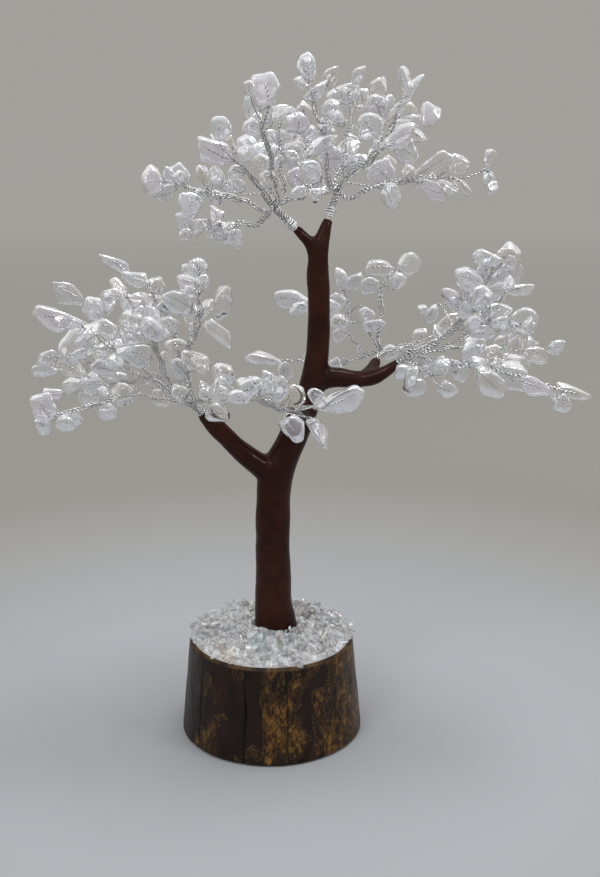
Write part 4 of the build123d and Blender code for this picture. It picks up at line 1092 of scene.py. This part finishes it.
for spray, chance in SMALL_CHANCES.items():
    small_points, small_faces = [], []
    tubes = Tubes()
    for branch in spray_branches[spray]:
        travel = travelled(branch)
        heading, side, other = carried_axes(branch)
        for start in np.arange(SMALL_FROM_SHARE * travel[-1], travel[-1] - SMALL_TIP_CLEAR, SMALL_STEP):
            if small_draw.random() > chance:
                continue
            index = np.searchsorted(travel, start)
            half = small_draw.uniform(*SMALL_HALF_SIZES)
            found = free_spot(branch[index], heading[index], side[index], other[index], half, spray)
            if found is None:
                continue
            spot, way = found
            points, halves = small_stone(spot, way, half)
            small_faces.append(ball_faces + len(small_points) * len(ball_ways))
            small_points.append(points)
            spray_stones[spray].append((spot, halves))
            before = branch[np.searchsorted(travel, start - SMALL_BEFORE)]
            path = flowing_path(np.array([before, branch[index], spot]), step)
            tubes.add_pair(path, TWIG_DIAMETER, small_draw)
    print(f"{spray} small chips:", len(small_points))
    piece = new_piece(f"{spray}_small_chips", np.vstack(small_points), np.vstack(small_faces).tolist(),
                      [tumbled_quartz], f"{spray}_spray")
    piece = tubes.piece(f"{spray}_small_twigs", [silver_wire], f"{spray}_spray")

# %% [markdown]
# The log slice is turned from a profile, but a real slice is not quite round: its outline wavers, its rim
# is worn, and drying opened cracks from top to bottom. The rings are moved in by slow noise, and each
# crack is a narrow groove that wanders a little on its way down. Marks on the points tell the wood shader
# where cracks and rim lie.

# %% Log profile
LOG_SIDES = 720
LOG_LEVELS = 56
LOG_EDGE = 1.2 * MM
LOG_TAPER = 3.9 * MM

log_low, log_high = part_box("wood_base")
bottom_radius = (log_high.x - log_low.x) / 2
top_radius = bottom_radius - LOG_TAPER
height = log_high.z - log_low.z
profile = []
for level in range(LOG_LEVELS + 1):
    z = height * level / LOG_LEVELS
    radius = bottom_radius + (top_radius - bottom_radius) * level / LOG_LEVELS
    edge = min(z, height - z)
    if edge < LOG_EDGE:
        radius -= LOG_EDGE - math.sqrt(LOG_EDGE ** 2 - (LOG_EDGE - edge) ** 2)
    profile.append((z, radius))
print("log radii in mm:", round(bottom_radius / MM, 1), round(top_radius / MM, 1))

# %% [markdown]
# A drying crack opens and closes on its way down and wanders with the grain, so each crack reads its own
# line of noise. Its groove is deepest in the middle, and its mark tells how near a point lies to that
# middle, where the wood shader paints the most shade.

# %% Drying cracks
# Each crack's direction in degrees, and its depth and half width in millimetres.
CRACKS = ((-52, 0.9, 0.8), (-16, 1.3, 0.9), (11, 0.6, 0.6), (47, 0.4, 0.5), (96, 0.9, 0.8), (148, 1.2, 0.9),
          (-160, 0.7, 0.7), (-105, 1.0, 0.8))
CRACK_WANDER = math.radians(1.3)
WANDER_LENGTH = 9.0 * MM
WANDER_LINE = 0.3
OPENING_LENGTH = 14.0 * MM
OPENING_LINE = 0.7
OPENING_SHIFT = 5.0
OPEN_SHARE = 0.55
OPEN_SWING_SHARE = 0.45
LEAST_OPEN_SHARE = 0.15
GROOVE_CURVE = 0.7


def crack_cut(angle, radius, z):
    """How deep the cracks cut in at a point of the side, and how near it lies to the middle of one."""
    cut, mark = 0.0, 0.0
    for degrees, depth, half_width in CRACKS:
        drift = CRACK_WANDER * noise.noise(Vector((WANDER_LINE * degrees, 0.0, z / WANDER_LENGTH)))
        turn = (angle - math.radians(degrees) - drift + math.pi) % (2 * math.pi) - math.pi
        swing = noise.noise(Vector((OPENING_LINE * degrees, OPENING_SHIFT, z / OPENING_LENGTH)))
        open_share = OPEN_SHARE + OPEN_SWING_SHARE * swing
        gap = abs(turn) * radius / (half_width * MM * max(open_share, LEAST_OPEN_SHARE))
        if gap < 1.0:
            cut += depth * MM * open_share * (1.0 - gap) ** GROOVE_CURVE
            mark = max(mark, 1.0 - gap)
    return cut, mark


print("cracks:", len(CRACKS))

# %% [markdown]
# Every point of the slice is now moved in by the waver of the outline, the roughness of the wood and the
# cracks. The pale rim is worn off in patches.

# %% Log base
OUTLINE_WAVER = 0.45 * MM
OUTLINE_LOBES = 1.6
OUTLINE_SHIFT = (4.0, 2.0)
OUTLINE_CLIMB = 3.0
SIDE_ROUGH = 0.16 * MM
ROUGH_SIZE = 4.0 * MM
ROUGH_UPRIGHT_SHARE = 0.4
CRACK_SHADE_SHARE = 1.4
RIM_DEPTH = 1.4 * MM
RIM_PATCHES = 5.0
RIM_SHARE = 0.35
RIM_SWING_SHARE = 1.3
RIM_MOST_SHARE = 0.8

log_points, crack_shade_marks, rim_marks = [], [], []
for z, radius in profile:
    for angle in 2 * math.pi * np.arange(LOG_SIDES) / LOG_SIDES:
        spot = Vector((math.sin(angle), -math.cos(angle), 0.0))
        waver = noise.noise(OUTLINE_LOBES * spot + Vector((*OUTLINE_SHIFT, OUTLINE_CLIMB * z)))
        rough = noise.noise(Vector((radius * spot.x, radius * spot.y, ROUGH_UPRIGHT_SHARE * z)) / ROUGH_SIZE)
        cut, mark = crack_cut(angle, radius, z)
        reach = radius - (OUTLINE_WAVER * (0.5 + 0.5 * waver) + SIDE_ROUGH * (1.0 + rough) + cut)
        log_points.append((reach * spot.x, reach * spot.y, z))
        # The mark of each point sets how much painted shade its crack gets.
        crack_shade_marks.append(min(CRACK_SHADE_SHARE * mark, 1.0))
        worn = min(max(RIM_SHARE + RIM_SWING_SHARE * noise.noise(RIM_PATCHES * spot), 0.0), RIM_MOST_SHARE)
        rim_marks.append(max(0.0, 1.0 - (height - z) / RIM_DEPTH) * worn)
log_faces = []
for level in range(LOG_LEVELS):
    for side in range(LOG_SIDES):
        after = (side + 1) % LOG_SIDES
        low = level * LOG_SIDES
        log_faces.append((low + side, low + after, low + LOG_SIDES + after, low + LOG_SIDES + side))
top_ring = LOG_LEVELS * LOG_SIDES
log_faces.append(tuple(range(LOG_SIDES - 1, -1, -1)))
log_faces.append(tuple(range(top_ring, top_ring + LOG_SIDES)))
log = new_piece("log_base", log_points, log_faces, [stained_log], "trunk")
for name, marks in (("crack", crack_shade_marks), ("rim", rim_marks)):
    log.data.attributes.new(name, "FLOAT", "POINT").data.foreach_set("value", marks)
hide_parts("wood_base")
print("log_base points:", len(log_points), "cracks:", len(CRACKS))

# %% [markdown]
# The crumbs lie shoulder to shoulder in the glue, some on top of others, and the outermost hang a little
# over the rim. Crushing leaves flat broken faces and sharp edges, so each crumb is the tight skin round a
# few points that lie on a small flat egg, turned any way. They are laid ring by ring with a little shake,
# which covers the bed evenly, and then a loose second layer goes on top.

# %% One crumb
CRUMB_CORNERS = (11, 16)
CRUMB_HALF_SIZES = (1.9 * MM, 3.1 * MM)
CRUMB_WIDTH_SHARES = (0.5, 0.72)
CRUMB_THICKNESS_SHARES = (0.34, 0.5)
CRUMB_SEED = 31

crumb_draw = random.Random(CRUMB_SEED)


def random_way(draw):
    """A direction that may point anywhere."""
    return unit(np.array([draw.gauss(0.0, 1.0) for _ in range(3)]))


def random_axes(draw):
    """Three axes turned any way."""
    first = random_way(draw)
    second = unit(np.cross(first, random_way(draw)))
    return np.array([first, second, np.cross(first, second)])


def tight_skin(points):
    """The corners and faces of the smallest bulging shape round some points."""
    skin = bmesh.new()
    corners = [skin.verts.new(point) for point in points]
    hull = bmesh.ops.convex_hull(skin, input=corners, use_existing_faces=False)
    spare = [item for item in hull["geom_interior"] if isinstance(item, bmesh.types.BMVert)]
    bmesh.ops.delete(skin, geom=spare, context="VERTS")
    skin.verts.index_update()
    kept = np.array([vertex.co[:] for vertex in skin.verts])
    faces = np.array([[vertex.index for vertex in face.verts] for face in skin.faces])
    skin.free()
    return kept, faces


def crumb_shape():
    """The corners and faces of a crumb about its middle, before it is turned."""
    half = crumb_draw.uniform(*CRUMB_HALF_SIZES)
    width = crumb_draw.uniform(*CRUMB_WIDTH_SHARES)
    thickness = crumb_draw.uniform(*CRUMB_THICKNESS_SHARES)
    halves = half * np.array([1.0, width, thickness])
    spots = [halves * random_way(crumb_draw) for _ in range(crumb_draw.randint(*CRUMB_CORNERS))]
    return tight_skin(np.array(spots))


print("random seed of the crumbs:", CRUMB_SEED)

# %% [markdown]
# The glue bed falls from the trunk to the rim, and the crumbs follow it. Most are white, but near one
# spot some are pale blue, and near two others some are peach.

# %% Height and tint of the bed
BED_EDGE = 31.9 * MM
BED_EDGE_RISE = 1.2 * MM
BED_RISE = 3.4 * MM
PLAIN_TINTS = ("#ffffff", "#fafbfe", "#fcfafb", "#f6f8fc", "#fcfbf8")
AQUA_TINTS = ("#eef7fa", "#e6f3f8", "#f1f8fb")
PEACH_TINTS = ("#fdf6f0", "#fbf1e9", "#fcf7f2")
# The place of each tinted spot on the bed, and its reach.
AQUA_SPOT = (-3.0 * MM, -15.0 * MM, 9.0 * MM)
PEACH_SPOTS = ((13.0 * MM, 14.0 * MM, 6.0 * MM), (-17.0 * MM, -24.0 * MM, 8.0 * MM))

bed_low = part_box("glue_bed")[0]


def bed_top(x, y):
    """The height of the glue bed, which falls from the trunk to the rim."""
    share = min(math.hypot(x, y) / BED_EDGE, 1.0)
    return bed_low.z + BED_EDGE_RISE + BED_RISE * (1.0 - share)


def crumb_tint(x, y):
    """The tint of a crumb at this place."""
    for spot_x, spot_y, reach in PEACH_SPOTS:
        if math.hypot(x - spot_x, y - spot_y) < reach * crumb_draw.random():
            return linear(crumb_draw.choice(PEACH_TINTS))
    spot_x, spot_y, reach = AQUA_SPOT
    if math.hypot(x - spot_x, y - spot_y) < reach * crumb_draw.random():
        return linear(crumb_draw.choice(AQUA_TINTS))
    return linear(crumb_draw.choice(PLAIN_TINTS))


print("bed height at the middle in mm:", round(bed_top(0.0, 0.0) / MM, 1))

# %% Crushed crystal on the base
CRUMB_SPACING = 2.9 * MM
TURN_SHAKE = 0.3
RADIUS_SHAKES_MM = (-0.8, 0.5)
LOWER_LIFTS_MM = (0.3, 1.2)
UPPER_LIFTS_MM = (1.8, 2.8)
TOP_LAYER = 170
FOOT_X = 1.9 * MM
FOOT_CLEAR = 9.6 * MM
TOP_FOOT_CLEAR = 1.5 * MM
TOP_EDGE_CLEAR = 2.0 * MM

crumb_points, crumb_faces, crumb_tints = [], [], []


def lay_crumb(x, y, lift):
    """Adds one crumb, turned any way, so far above the bed."""
    corners, faces = crumb_shape()
    crumb_faces.append(faces + sum(len(points) for points in crumb_points))
    crumb_points.append(np.array([x, y, bed_top(x, y) + lift]) + corners @ random_axes(crumb_draw))
    crumb_tints.append(np.tile(crumb_tint(x, y), (len(corners), 1)))


rings = int((BED_EDGE - FOOT_CLEAR) / CRUMB_SPACING)
for ring in range(rings + 1):
    radius = FOOT_CLEAR + (BED_EDGE - FOOT_CLEAR) * ring / rings
    count = int(2 * math.pi * radius / CRUMB_SPACING)
    for index in range(count):
        angle = 2 * math.pi * (index + crumb_draw.uniform(-TURN_SHAKE, TURN_SHAKE)) / count
        shaken = radius + crumb_draw.uniform(*RADIUS_SHAKES_MM) * MM
        lift = crumb_draw.uniform(*LOWER_LIFTS_MM) * MM
        lay_crumb(FOOT_X * (1 - ring / rings) + shaken * math.cos(angle), shaken * math.sin(angle), lift)
nearest = FOOT_CLEAR + TOP_FOOT_CLEAR
farthest = BED_EDGE - TOP_EDGE_CLEAR
for _ in range(TOP_LAYER):
    radius = math.sqrt(crumb_draw.uniform(nearest ** 2, farthest ** 2))
    angle = crumb_draw.uniform(0.0, 2 * math.pi)
    lift = crumb_draw.uniform(*UPPER_LIFTS_MM) * MM
    lay_crumb(radius * math.cos(angle), radius * math.sin(angle), lift)
crumbs = new_piece("crushed_crystal_crumbs", np.vstack(crumb_points), np.vstack(crumb_faces).tolist(),
                   [crushed_quartz], "trunk", smooth=False)
tints = crumbs.data.attributes.new("stone_tint", "FLOAT_COLOR", "POINT")
tints.data.foreach_set("color", np.vstack(crumb_tints).ravel())
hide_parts("crushed_crystal")
print("crushed_crystal_crumbs:", len(crumb_points))

# %% [markdown]
# The stems and the glue keep their CAD shapes, which are right as they are and mostly hidden. They only
# take the finishes made above.

# %% Finishes of the CAD solids that stay
for node, finish in [("socket_glue", clear_glue), ("glue_bed", clear_glue)] + [
    (f"{spray}_stem", silver_wire) for spray in SPRAYS
]:
    slots = frame["nodes"][node].data.materials
    slots.clear()
    slots.append(finish)
print("CAD solids that stay: glue and", len(SPRAYS), "stems")

# %% [markdown]
# Dressing must not change the size of the object. The box of the CAD model was kept and printed at the
# start, and the box of the dressed model is printed here.

# %% Size of the dressed model
visual_low, visual_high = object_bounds()
for label, corner in (("lowest", visual_low), ("highest", visual_high)):
    print(f"{label} corner of the dressed model in mm:", [round(value / MM, 1) for value in corner])
